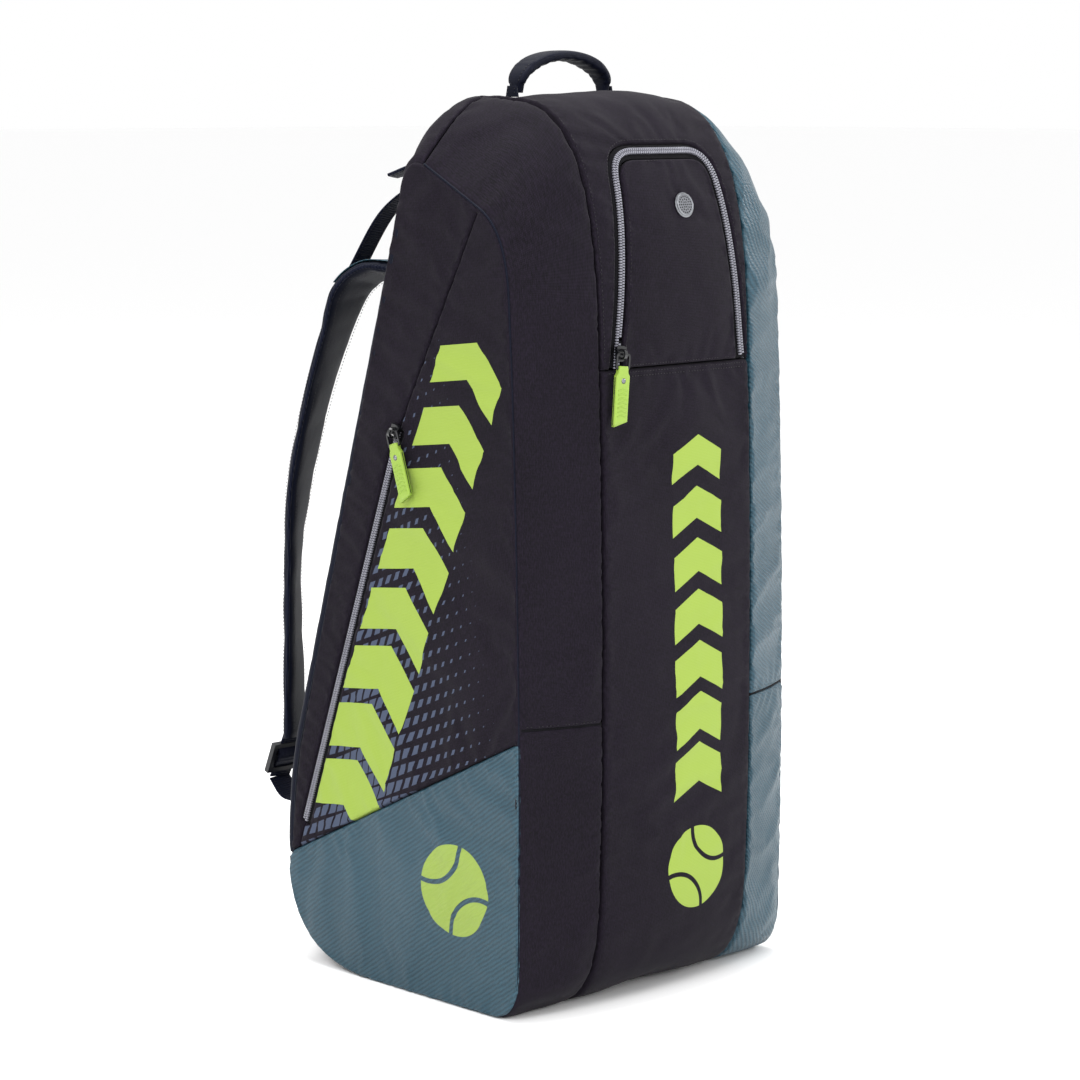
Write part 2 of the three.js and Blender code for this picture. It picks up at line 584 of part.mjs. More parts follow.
// A flat strap along points, each {at, width direction, width}, with a given thickness.
function strap(path, thick) {
  const curve = new THREE.CatmullRomCurve3(path.map((p) => p.at), false, "centripetal");
  const n = (path.length - 1) * 3;
  const outer = [];
  const inner = [];
  for (let i = 0; i <= n; i++) {
    const t = i / n;
    const k = Math.min(Math.floor(t * (path.length - 1)), path.length - 2);
    const f = t * (path.length - 1) - k;
    const across = path[k].across.clone().lerp(path[k + 1].across, f);
    const tangent = curve.getTangent(t);
    across.addScaledVector(tangent, -across.dot(tangent)).normalize();
    const half = mix(path[k].width, path[k + 1].width, f) / 2;
    const normal = tangent.clone().cross(across);
    const p = curve.getPoint(t);
    const row = (h) => [-half, 0, half].map((w) => p.clone().addScaledVector(across, w).addScaledVector(normal, h));
    outer.push(row(thick / 2));
    inner.push(row(-thick / 2));
  }
  return gridSolid(outer, inner);
}

function handleLoop() {
  const across = new THREE.Vector3(0, 1, 0);
  const path = spread(0, Math.PI, 8).map((a) => ({
    at: new THREE.Vector3(-Math.cos(a) * HANDLE.half, HANDLE.y, HANDLE.pivotZ + Math.sin(a) * HANDLE.rise),
    across,
    width: mix(HANDLE.root, HANDLE.width, Math.sin(a) ** 0.5),
  }));
  const knuckle = (x) =>
    new THREE.CylinderGeometry(HANDLE.root / 2, HANDLE.root / 2, HANDLE.thick, 16)
      .rotateZ(Math.PI / 2)
      .translate(x, HANDLE.y, HANDLE.pivotZ);
  return join(strap(path, HANDLE.thick), knuckle(-HANDLE.half), knuckle(HANDLE.half));
}
add(bag, "top_handle", handleLoop(), webbing);
// Webbing tabs sewn on the top, which hold the handle's two ends.
for (const side of [-1, 1]) {
  const name = side < 0 ? "left" : "right";
  const x = side * (HANDLE.half + HANDLE.thick / 2 + 2);
  const foot = skin(CROWN + 1, x, 0).z + 0.5;
  const height = HANDLE.pivotZ + 5 - foot;
  add(carcass, `handle_tab_${name}`, box(3, HANDLE.root, height, x, HANDLE.y, foot + height / 2), webbing);
}

// ---- shoulder harness ---------------------------------------------------------------------
// Each strap swings about a line on the back panel through its three sewn ends.
const STRAP_X = 104;
const LOWER_ANCHOR = { y: 144.5, z: 132 };
const outOfBack = new THREE.Vector3(0, 1, -backSlope).normalize();
const backY = (z) =>
  Math.max(BACK_KNEE.y + (z - BACK_KNEE.z) * backSlope, BACK_TOP.y) + backCrown(STRAP_X, z, HALF_WIDTH);
// A point at (y, z), sideways from the strap's line, with the strap's width there and its twist.
function strapPoint(side, y, z, aside, width, twist = 0) {
  const a = THREE.MathUtils.degToRad(twist);
  const across = new THREE.Vector3(Math.cos(a), side * -Math.sin(a), 0);
  return { at: new THREE.Vector3(side * (STRAP_X + aside), y, z), across, width };
}

function shoulderPad(side) {
  return strap([
    strapPoint(side, backY(610) + 15, 612, -26, 18),
    strapPoint(side, 56, 620, -14, 46),
    strapPoint(side, 82, 619, -2, 60),
    strapPoint(side, 105, 603, 8, 64, 14),
    strapPoint(side, 124, 568, 10, 66, 26),
    strapPoint(side, 155, 501, 10, 66, 31),
    strapPoint(side, 180, 425, 10, 64, 33),
    strapPoint(side, 192, 350, 10, 58, 43),
    strapPoint(side, 192, 280, 10, 54, 38),
    strapPoint(side, 191, 190, 10, 46, 28),
  ], 11);
}
function lifterWeb(side) {
  return strap([
    strapPoint(side, backY(694) + 8, 694, -34, 16),
    strapPoint(side, 38, 695, -22, 20),
    strapPoint(side, 74, 672, -8, 20),
    strapPoint(side, 110, 614, 5, 20),
  ], 2);
}
function lifterTail(side) {
  return strap([
    strapPoint(side, backY(710) + 12, 710, -34, 16),
    strapPoint(side, 36, 712, -20, 20),
    strapPoint(side, 70, 700, -6, 20),
  ], 3);
}
function lowerWeb(side) {
  return strap([
    strapPoint(side, 213, 147, 12, 24),
    strapPoint(side, 196, 131, 10, 24),
    strapPoint(side, LOWER_ANCHOR.y + 10, LOWER_ANCHOR.z, 0, 16),
  ], 2);
}
// Ladder-lock buckle: a flat frame with two slots.
function ladderLock(side) {
  const frame = polygon([-20, -15], [20, -15], [20, 15], [-20, 15]);
  for (const low of [-10.5, 2.5]) {
    const slot = new THREE.Path([v2(-15, low), v2(-15, low + 8), v2(15, low + 8), v2(15, low)]);
    frame.holes.push(slot);
  }
  return extrude(frame, 5).translate(0, 0, -2.5);
}

for (const side of [-1, 1]) {
  const name = side < 0 ? "left" : "right";
  const harness = new THREE.Group();
  bag.add(harness);
  add(harness, `shoulder_pad_${name}`, shoulderPad(side), webbing);
  add(harness, `lifter_web_${name}`, lifterWeb(side), webbing);
  add(harness, `lifter_tail_${name}`, lifterTail(side), webbing);
  const lockSpot = new THREE.Vector3(side * (STRAP_X + 11), 203, 168);
  const lock = hardwareFrame(harness, lockSpot, new THREE.Vector3(0, -0.42, 1), new THREE.Vector3(0, 1, 0.42));
  add(lock, `ladder_lock_${name}`, ladderLock(side), hardPlastic);
  add(harness, `lower_web_${name}`, lowerWeb(side), webbing);
  const upper = new THREE.Vector3(side * (STRAP_X - 26), backY(640) + 1.6, 640);
  const upperPatch = hardwareFrame(carcass, upper, new THREE.Vector3(0, backSlope - 0.035, 1), outOfBack);
  add(upperPatch, `strap_anchor_upper_${name}`, box(40, 86, 2.5, 0, 0, 1.25), webbing);
  const lower = new THREE.Vector3(side * STRAP_X, LOWER_ANCHOR.y, LOWER_ANCHOR.z);
  const lowerPatch = hardwareFrame(carcass, lower, new THREE.Vector3(0, -0.05, 1), new THREE.Vector3(0, 1, 0));
  add(lowerPatch, `strap_anchor_lower_${name}`, box(40, 24, 2.5, 0, 0, 1.25), webbing);
}

export default bag;
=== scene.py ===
import math

import bpy
import numpy as np
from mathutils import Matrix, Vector, noise
from mathutils.geometry import delaunay_2d_cdt


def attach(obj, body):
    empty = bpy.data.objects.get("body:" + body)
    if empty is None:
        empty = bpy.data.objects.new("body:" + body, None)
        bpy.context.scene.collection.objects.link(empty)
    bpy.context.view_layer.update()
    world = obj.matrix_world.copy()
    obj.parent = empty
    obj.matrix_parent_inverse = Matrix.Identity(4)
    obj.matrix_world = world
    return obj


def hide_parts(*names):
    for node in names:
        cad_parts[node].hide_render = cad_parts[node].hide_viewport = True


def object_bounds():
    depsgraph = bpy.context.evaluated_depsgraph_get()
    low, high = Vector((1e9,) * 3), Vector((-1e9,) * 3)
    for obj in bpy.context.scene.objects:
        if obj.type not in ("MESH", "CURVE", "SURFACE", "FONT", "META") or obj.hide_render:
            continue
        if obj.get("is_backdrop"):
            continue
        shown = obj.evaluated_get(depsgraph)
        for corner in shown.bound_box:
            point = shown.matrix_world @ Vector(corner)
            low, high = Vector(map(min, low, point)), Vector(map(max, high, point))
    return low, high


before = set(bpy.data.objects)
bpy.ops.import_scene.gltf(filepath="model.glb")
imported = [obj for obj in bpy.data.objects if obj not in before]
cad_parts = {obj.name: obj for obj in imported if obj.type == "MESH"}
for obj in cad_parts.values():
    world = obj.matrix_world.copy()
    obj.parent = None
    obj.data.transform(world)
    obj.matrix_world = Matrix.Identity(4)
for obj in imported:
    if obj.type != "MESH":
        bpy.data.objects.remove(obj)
CAD_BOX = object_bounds()

bl_info = {
    "name": "Racket Tournament Bag",
    "version": (1, 0, 0),
    "blender": (4, 5, 0),
    "location": "View3D > Sidebar > Bag",
    "description": "Sews the fabric, zips, straps and lining of a six-racket bag over its frame",
    "category": "Object",
}

MM = 0.001

# Outlines of the bag in (y, z), in millimetres, from the heel under the base, up the front and over the top.
SIDE_LINE = [
    [(143, 96), (140, 0), (30, 0)],
    [(30, 0), (-120, 0)],
    [(-120, 0), (-154, 0), (-155, 45)],
    [(-155, 45), (-157, 150), (-156, 250)],
    [(-156, 250), (-154, 400), (-148, 545)],
    [(-148, 545), (-144, 610)],
    [(-144, 610), (-140, 662), (-108, 678)],
    [(-108, 678), (-42, 713)],
    [(-42, 713), (-21.68, 721), (-14, 695)],
]
CENTRE_LINE = [
    [(143, 96), (140, 0), (30, 0)],
    [(30, 0), (-116, 0)],
    [(-116, 0), (-177, 0), (-181, 90)],
    [(-181, 90), (-184, 180), (-184, 250)],
    [(-184, 250), (-184, 400), (-179, 545)],
    [(-179, 545), (-176, 600)],
    [(-176, 600), (-171, 692), (-148, 762), (-80, 767)],
    [(-80, 767), (-40, 769)],
    [(-40, 769), (-18.72, 771), (-14, 755)],
]
HEEL, BASE, TOE, FRONT, WAIST, SILL, BROW, CROWN, NAPE, END = range(10)
CENTRE_CROWN = np.array([0, 0, 0, 6, 7, 2, 7, 5, 0, 0.0])
GUSSET_CROWN = np.array([0, 0, 0, 3, 3, 3, 7, 10, 12, 7.0])
HALF_WIDTH, SEAM_X, SEAM_GAP = 165.0, 91.0, 1.0
BACK_FOOT, BACK_KNEE = (143.0, 96.0), (128.0, 214.0)
BACK_SHOULDER, BACK_TOP = (-14.0, 695.0), (-14.0, 755.0)
BACK_CROWN = 10.0
BACK_SLOPE = (BACK_SHOULDER[0] - BACK_KNEE[0]) / (BACK_SHOULDER[1] - BACK_KNEE[1])
SILL_Z = 545.0
ZIP_TOP, ZIP_FOOT = np.array([-10.0, 489.0]), np.array([119.0, 127.0])
ZIP_LENGTH = float(np.linalg.norm(ZIP_FOOT - ZIP_TOP))
ZIP_DOWN = (ZIP_FOOT - ZIP_TOP) / ZIP_LENGTH
SEAM_REAR, SEAM_FRONT = (150.0, 92.0), (-170.0, 247.0)
SEAM_UPPER = (-118.0, 696.0)
ZIP_BAND = 6.0
VENT = (13.0, 678.0, 8.0)
BAIL_Z = 6.6
STRAP_X = 104.0
FLOOR_GAP = 0.2


# ---- small geometry helpers -----------------------------------------------------------------
def unit(vectors):
    """Vectors brought to length one."""
    return vectors / np.linalg.norm(vectors, axis=-1, keepdims=True)


def run_along(points):
    """Length along a line of points, at each of them."""
    return np.concatenate([[0], np.cumsum(np.linalg.norm(np.diff(points, axis=0), axis=1))])


def blend_at(run, values, at):
    """Rows of values read at a length along a line."""
    return np.array([np.interp(at, run, values[:, k]) for k in range(values.shape[1])])


def circle(centre, right, up, radius, count):
    """Points round a circle that lies in the plane of right and up."""
    turns = np.linspace(0, math.tau, count, endpoint=False)
    return [centre + radius * (math.cos(t) * right + math.sin(t) * up) for t in turns]


# ---- the bag's measured shape ---------------------------------------------------------------
def trace(line):
    """Table of an outline: station, place, outward normal and length so far."""
    rows = []
    for stretch, corners in enumerate(line):
        c = np.array(corners, float)
        n = len(c) - 1
        t = np.linspace(0, 1, 121)[:, None]
        weight = lambda k, m: math.comb(m, k) * t**k * (1 - t) ** (m - k)
        place = sum(weight(k, n) * c[k] for k in range(n + 1))
        way = sum(weight(k, n - 1) * (c[k + 1] - c[k]) for k in range(n))
        way = unit(way)
        rows.append(np.column_stack([stretch + t * (1 - 1e-6), place, -way[:, 1], way[:, 0]]))
    table = np.vstack(rows)
    return np.column_stack([table, run_along(table[:, 1:3])])


SIDE, CENTRE = trace(SIDE_LINE), trace(CENTRE_LINE)


def swell_at(values, station):
    """A crown height between two stations, eased from one to the next."""
    i = np.clip(np.floor(station).astype(int), 0, len(values) - 2)
    t = station - i
    return values[i] + (values[i + 1] - values[i]) * t * t * (3 - 2 * t)


def skin(station, x, depth=0.0):
    """Points of the bag's skin, at a depth below its outer face."""
    values = [np.atleast_1d(np.asarray(v, float)) for v in (station, x, depth)]
    station, x, depth = np.broadcast_arrays(*values)
    across = np.abs(x)
    f = np.clip((across - SEAM_X) / (HALF_WIDTH - SEAM_X), 0, 1)
    read = lambda table: [np.interp(station, table[:, 0], table[:, k]) for k in (1, 2, 3, 4)]
    c, s = read(CENTRE), read(SIDE)
    y, z, ny, nz = [a + (b - a) * f for a, b in zip(c, s)]
    size = np.hypot(ny, nz)
    rise = np.where(
        across < SEAM_X,
        swell_at(CENTRE_CROWN, station) * (1 - (across / SEAM_X) ** 2),
        swell_at(GUSSET_CROWN, station) * 4 * f * (1 - f),
    ) - depth
    return np.column_stack([x, y + ny / size * rise, z + nz / size * rise])


def station_at(x, z):
    """The station of the front face that stands at height z above the sill."""
    low, high = np.full(np.shape(z), float(SILL)), np.full(np.shape(z), float(CROWN))
    for _ in range(28):
        middle = (low + high) / 2
        under = skin(middle, x)[:, 2] < z
        low, high = np.where(under, middle, low), np.where(under, high, middle)
    return low


def length_of(table, station):
    """Length along an outline up to a station."""
    return float(np.interp(station, table[:, 0], table[:, 5]))


def on_skin(table):
    """A pattern's (x, length along the outline) laid on the bag."""
    return lambda a, b, depth: skin(np.interp(b, table[:, 5], table[:, 0]), a, depth)


def on_side(side):
    """A side panel's (y, z), kept off the floor."""
    def place(a, b, depth):
        return np.column_stack([side * (HALF_WIDTH - depth), a, np.maximum(b, 0)])
    return place


def back_profile():
    """The back panel's outline in (y, z) from its foot to its top, and the length along it."""
    t = np.linspace(0.01, 1, 40)[:, None]
    foot, pull, knee = np.array(BACK_FOOT), np.array([BACK_FOOT[0], 165.0]), np.array(BACK_KNEE)
    heel = (1 - t) ** 2 * foot + 2 * t * (1 - t) * pull + t * t * knee
    path = np.vstack([heel, BACK_SHOULDER, BACK_TOP])
    return path, run_along(path)


BACK_PATH, BACK_LENGTH = back_profile()
BACK_OUT = np.array([0.959, 0.283])


def on_back(a, b, depth):
    """The back panel's (x, length up the panel)."""
    y = np.interp(b, BACK_LENGTH, BACK_PATH[:, 0])
    z = np.interp(b, BACK_LENGTH, BACK_PATH[:, 1])
    t = np.clip((z - BACK_FOOT[1]) / (BACK_TOP[1] - BACK_FOOT[1]), 0, 1)
    out = BACK_CROWN * np.sin(np.pi * t) * (1 - (a / HALF_WIDTH) ** 2) - depth
    return np.column_stack([a, y + BACK_OUT[0] * out, z + BACK_OUT[1] * out])


def back_y(z):
    """Depth of the back panel's face behind the straps, at height z."""
    flat = max(BACK_KNEE[0] + (z - BACK_KNEE[1]) * BACK_SLOPE, BACK_TOP[0])
    t = min(max((z - BACK_FOOT[1]) / (BACK_TOP[1] - BACK_FOOT[1]), 0), 1)
    return flat + BACK_CROWN * math.sin(math.pi * t) * (1 - (STRAP_X / HALF_WIDTH) ** 2)


# ---- settings -------------------------------------------------------------------------------
def paint(code):
    """An sRGB hex colour as linear RGBA."""
    parts = [int(code[i : i + 2], 16) / 255 for i in (0, 2, 4)]
    return (*[c / 12.92 if c <= 0.04045 else ((c + 0.055) / 1.055) ** 2.4 for c in parts], 1.0)


def colour(name, words, code):
    return bpy.props.FloatVectorProperty(name=name, description=words, subtype="COLOR", size=4, min=0, max=1,
                                         default=paint(code))


def distance(name, words, millimetres):
    """A length property of the add-on, given in millimetres and kept in metres."""
    return bpy.props.FloatProperty(name=name, description=words, default=millimetres * MM, min=0,
                                   unit="LENGTH", subtype="DISTANCE")


class BagSizes(bpy.types.PropertyGroup):
    cloth_step: distance("Cloth step", "Distance between the points of a fabric panel", 4.6)
    wall: distance("Wall", "Thickness of the padded walls", 6)
    seam_roll: distance("Seam roll", "How far the fabric turns down into a seam", 3.6)
    main_roll: distance("Main seam roll", "How far the fabric turns down over the main zips", 4.6)
    stitch_pitch: distance("Stitch pitch", "Distance from one stitch to the next", 3.4)
    tooth_pitch: distance("Tooth pitch", "Distance from one zip tooth to the next", 2.3)
    crease: distance("Crease", "Height of the soft creases in the panels", 1.3)
    pucker: distance("Pucker", "Height of the gathers along the seams", 0.8)


class BagColours(bpy.types.PropertyGroup):
    black: colour("Black cloth", "Ground of the black woven polyester", "070609")
    black_fleck: colour("Black cloth fleck", "Lighter threads of the black polyester", "1f1925")
    teal: colour("Teal cloth", "Ground of the teal ripstop", "0d222c")
    teal_rib: colour("Teal rib", "Raised ribs of the teal ripstop", "305464")
    lime: colour("Lime print", "Rubber print and pull tabs", "8da444")
    dots: colour("Dot print", "Grey-blue dots of the print", "454d60")
    lining: colour("Lining", "Grey taffeta lining", "23262e")
    strap: colour("Strap cloth", "Navy-black cloth of the straps and the handle", "030613")
    coil: colour("Zip coil", "Silver-grey zip teeth", "696973")
    metal: colour("Eyelet", "Brushed aluminium of the vent", "95979b")


def sizes():
    return bpy.context.scene.bag_sizes


def colours():
    return bpy.context.scene.bag_colours


# ---- materials ------------------------------------------------------------------------------
def node(tree, kind, feeds=None, **settings):
    """Adds a node with its settings; feeds gives each input a value or the output that drives it."""
    made = tree.nodes.new(kind)
    for key, value in settings.items():
        setattr(made, key, value)
    for key, value in (feeds or {}).items():
        if isinstance(value, bpy.types.NodeSocket):
            tree.links.new(value, made.inputs[key])
        else:
            made.inputs[key].default_value = value
    return made


MATH, MIX, WAVE, NOISE = "ShaderNodeMath", "ShaderNodeMix", "ShaderNodeTexWave", "ShaderNodeTexNoise"
VECTOR, BUMP, RANGE = "ShaderNodeVectorMath", "ShaderNodeBump", "ShaderNodeMapRange"
MAPPING, COORDINATES = "ShaderNodeMapping", "ShaderNodeTexCoord"


def blank(name):
    """A new material with only its shader and output."""
    material = bpy.data.materials.new(name)
    material.use_nodes = True
    tree = material.node_tree
    tree.nodes.clear()
    shader = node(tree, "ShaderNodeBsdfPrincipled")
    node(tree, "ShaderNodeOutputMaterial", {"Surface": shader.outputs[0]})
    return material, tree, shader


def wave_scale(millimetres):
    """The wave texture's scale for a period in millimetres."""
    return math.pi / 10 / (millimetres * MM)


def print_mask(tree, spec):
    """1 where the generic print lies: a band of chevrons, or a ball with two curved seams."""
    spot = node(tree, COORDINATES).outputs["Object"]
    from_start = node(tree, VECTOR, {0: spot, 1: spec["start"]}, operation="SUBTRACT").outputs[0]
    up = node(tree, VECTOR, {0: from_start, 1: spec["up"]}, operation="DOT_PRODUCT").outputs["Value"]
    aside = node(tree, VECTOR, {0: from_start, 1: spec["aside"]}, operation="DOT_PRODUCT").outputs["Value"]
    off = node(tree, MATH, {0: aside}, operation="ABSOLUTE").outputs[0]
    if spec["kind"] == "ball":
        far = node(tree, VECTOR, {0: from_start, 1: spec["plane"]}, operation="MULTIPLY").outputs[0]
        radius = node(tree, VECTOR, {0: far}, operation="LENGTH").outputs["Value"]
        disc = node(tree, MATH, {0: radius, 1: spec["radius"]}, operation="LESS_THAN").outputs[0]
        for sign in (1, -1):
            centre = node(tree, MATH, {0: up, 1: sign * spec["radius"] * 1.25}, operation="ADD").outputs[0]
            reach = node(tree, MATH, {0: node(tree, MATH, {0: centre, 1: 2.0}, operation="POWER").outputs[0],
                                      1: node(tree, MATH, {0: aside, 1: 2.0}, operation="POWER").outputs[0]},
                         operation="ADD").outputs[0]
            away = node(tree, MATH, {0: reach}, operation="SQRT").outputs[0]
            band_at = {0: away, 1: spec["radius"] * 0.92, 2: spec["seam"]}
            ring = node(tree, MATH, band_at, operation="COMPARE").outputs[0]
            gap = node(tree, MATH, {0: 1.0, 1: ring}, operation="SUBTRACT").outputs[0]
            disc = node(tree, MATH, {0: disc, 1: gap}, operation="MULTIPLY").outputs[0]
        return disc
    tip = node(tree, MATH, {0: off, 1: spec["rake"], 2: up}, operation="MULTIPLY_ADD").outputs[0]
    turn = node(tree, MATH, {0: tip, 1: spec["pitch"]}, operation="DIVIDE").outputs[0]
    part = node(tree, MATH, {0: turn}, operation="FRACT").outputs[0]
    first, last = spec["thick"]
    share = node(tree, RANGE, {0: tip, 1: 0.0, 2: spec["length"], 3: first, 4: last}).outputs[0]
    bar = node(tree, MATH, {0: part, 1: share}, operation="LESS_THAN").outputs[0]
    begun = node(tree, MATH, {0: tip, 1: 0.0}, operation="GREATER_THAN").outputs[0]
    ended = node(tree, MATH, {0: tip, 1: spec["length"]}, operation="LESS_THAN").outputs[0]
    inside = node(tree, MATH, {0: off, 1: spec["half"]}, operation="LESS_THAN").outputs[0]
    for limit in (begun, ended, inside):
        bar = node(tree, MATH, {0: bar, 1: limit}, operation="MULTIPLY").outputs[0]
    return bar


def dot_mask(tree):
    """Raked rows of four-sided dots beside the side zip, which shrink towards the front."""
    spot = node(tree, COORDINATES).outputs["Object"]
    zip_top = (0, ZIP_TOP[0] * MM, ZIP_TOP[1] * MM)
    from_zip = node(tree, VECTOR, {0: spot, 1: zip_top}, operation="SUBTRACT").outputs[0]
    away = node(tree, VECTOR, {0: from_zip, 1: (0, -0.942, -0.336)}, operation="DOT_PRODUCT").outputs["Value"]
    down = node(tree, VECTOR, {0: from_zip, 1: (0, -0.36, -0.933)}, operation="DOT_PRODUCT").outputs["Value"]
    parts = []
    for along, pitch in ((away, 0.0088), (down, 0.0122)):
        part = node(tree, MATH, {0: node(tree, MATH, {0: along, 1: pitch}, operation="DIVIDE").outputs[0]},
                    operation="FRACT").outputs[0]
        centred = node(tree, MATH, {0: part, 1: 0.5}, operation="SUBTRACT").outputs[0]
        parts.append(node(tree, MATH, {0: centred}, operation="ABSOLUTE").outputs[0])
    grown = node(tree, RANGE, {0: down, 1: 0.0, 2: 0.40, 3: 0.03, 4: 0.235}, clamp=False).outputs[0]
    reach = node(tree, MATH, {0: grown, 1: away}, operation="SUBTRACT").outputs[0]
    size = node(tree, RANGE, {0: reach, 1: -0.03, 2: 0.10, 3: 0.0, 4: 0.43}).outputs[0]
    near = node(tree, RANGE, {0: away, 1: 0.008, 2: 0.05, 3: 0.72, 4: 1.0}).outputs[0]
    size = node(tree, MATH, {0: size, 1: near}, operation="MULTIPLY").outputs[0]
    inside = [node(tree, MATH, {0: part, 1: size}, operation="LESS_THAN").outputs[0] for part in parts]
    return node(tree, MATH, {0: inside[0], 1: inside[1]}, operation="MULTIPLY").outputs[0]


def woven(name, ground, thread, pitch, roughness, prints=(), dots=False, rib=None, sheen=0.03,
          relief=0.12, fleck=0.55, shine=0.10):
    """Woven cloth: crossing threads, flecks along them, slow random tone changes and a painted highlight
    along its seam edges.
    """
    material, tree, shader = blank(name)
    cloth = node(tree, "ShaderNodeAttribute", attribute_name="cloth").outputs["Vector"]
    warp = node(tree, WAVE, {"Vector": cloth, "Scale": wave_scale(pitch), "Distortion": 0.4, "Detail": 0.0},
                bands_direction="X").outputs["Fac"]
    weft = node(tree, WAVE, {"Vector": cloth, "Scale": wave_scale(pitch), "Distortion": 0.4, "Detail": 0.0},
                bands_direction="Y").outputs["Fac"]
    weave = node(tree, MATH, {0: warp, 1: weft}, operation="MULTIPLY").outputs[0]
    flecks = node(tree, NOISE, {"Vector": node(tree, MAPPING, {0: cloth, 3: (1.0, 0.35, 1.0)}).outputs[0],
                                "Scale": 900.0, "Detail": 2.0}).outputs["Fac"]
    slow = node(tree, NOISE, {"Vector": cloth, "Scale": 9.0, "Detail": 3.0}).outputs["Fac"]
    tone = node(tree, RANGE, {0: flecks, 1: 0.35, 2: 0.7, 3: 0.0, 4: fleck}).outputs[0]
    tone = node(tree, MATH, {0: weave, 1: 0.3, 2: tone}, operation="MULTIPLY_ADD").outputs[0]
    tone = node(tree, MATH, {0: slow, 1: 0.3, 2: tone}, operation="MULTIPLY_ADD").outputs[0]
    height = weave
    if rib:
        turned = node(tree, MAPPING, {0: cloth, 2: (0, 0, math.radians(rib["turn"]))}).outputs[0]
        ribs = node(tree, WAVE, {"Vector": turned, "Scale": wave_scale(rib["pitch"]), "Distortion": 1.6,
                                 "Detail": 1.0, "Detail Scale": 1.4}, bands_direction="Y").outputs["Fac"]
        tone = node(tree, MATH, {0: ribs, 1: 0.42, 2: tone}, operation="MULTIPLY_ADD").outputs[0]
        height = node(tree, MATH, {0: ribs, 1: 1.6, 2: weave}, operation="MULTIPLY_ADD").outputs[0]
    # Painted highlight: the cloth is drawn lighter within a few millimetres of a seam or strap edge, where it
    # rolls over and catches the light.
    edge = node(tree, "ShaderNodeSeparateXYZ", {0: cloth}).outputs[2]
    painted_edge_highlight = node(tree, RANGE, {0: edge, 1: 0.0012, 2: 0.0045, 3: 0.12, 4: 0.0}).outputs[0]
    tone = node(tree, MATH, {0: tone, 1: painted_edge_highlight}, operation="ADD", use_clamp=True).outputs[0]
    shade = node(tree, MIX, {0: tone, 6: ground, 7: thread}, data_type="RGBA").outputs[2]
    rough = node(tree, RANGE, {0: flecks, 3: roughness - 0.06, 4: roughness + 0.06}).outputs[0]
    ink = None
    if dots:
        dotted = dot_mask(tree)
        shade = node(tree, MIX, {0: dotted, 6: shade, 7: colours().dots}, data_type="RGBA").outputs[2]
    for spec in prints:
        mask = print_mask(tree, spec)
        ink = mask if ink is None else node(tree, MATH, {0: ink, 1: mask}, operation="MAXIMUM").outputs[0]
    if ink is not None:
        lime = node(tree, MIX, {0: node(tree, MATH, {0: weave, 1: 0.10}, operation="MULTIPLY").outputs[0],
                                6: colours().lime, 7: (0.55, 0.62, 0.3, 1.0)}, data_type="RGBA").outputs[2]
        shade = node(tree, MIX, {0: ink, 6: shade, 7: lime}, data_type="RGBA").outputs[2]
        rough = node(tree, MIX, {0: ink, 2: rough, 3: 0.48}).outputs[0]
        height = node(tree, MATH, {0: ink, 1: 1.5, 2: height}, operation="MULTIPLY_ADD").outputs[0]
    crumple = node(tree, NOISE, {"Vector": cloth, "Scale": 34.0, "Detail": 3.0,
                                 "Roughness": 0.45}).outputs["Fac"]
    fine = node(tree, BUMP, {"Height": height, "Distance": relief * MM, "Strength": 0.8}).outputs[0]
    soft = node(tree, BUMP, {"Height": crumple, "Distance": 2.2 * MM, "Strength": 0.35,
                             "Normal": fine}).outputs[0]
    for key, value in {"Base Color": shade, "Roughness": rough, "Normal": soft}.items():
        tree.links.new(value, shader.inputs[key])
    shader.inputs["IOR"].default_value = 1.53
    shader.inputs["Specular IOR Level"].default_value = shine
    shader.inputs["Sheen Weight"].default_value = sheen
    shader.inputs["Sheen Roughness"].default_value = 0.45
    return material


def moulded(name, base, tint, roughness, grain_mm, metallic=0.0, ior=1.5, coat=0.0, brushed=False):
    """Moulded, enamelled or brushed hard surface with a fine grain and slow dull patches."""
    material, tree, shader = blank(name)
    spot = node(tree, COORDINATES).outputs["Object"]
    if brushed:
        spot = node(tree, MAPPING, {0: spot, 3: (0.08, 1.0, 1.0)}).outputs[0]
    grain = node(tree, NOISE, {"Vector": spot, "Scale": 1 / (grain_mm * MM), "Detail": 2.0}).outputs["Fac"]
    patch = node(tree, NOISE, {"Vector": spot, "Scale": 60.0, "Detail": 3.0}).outputs["Fac"]
    shade = node(tree, MIX, {0: patch, 6: base, 7: tint}, data_type="RGBA").outputs[2]
    rough = node(tree, RANGE, {0: patch, 3: roughness - 0.08, 4: roughness + 0.10}).outputs[0]
    bump = node(tree, BUMP, {"Height": grain, "Distance": 0.05 * MM, "Strength": 0.5}).outputs[0]
    for key, value in {"Base Color": shade, "Roughness": rough, "Normal": bump}.items():
        tree.links.new(value, shader.inputs[key])
    shader.inputs["Metallic"].default_value = metallic
    if not metallic:
        shader.inputs["IOR"].default_value = ior
        shader.inputs["Coat Weight"].default_value = coat
    return material


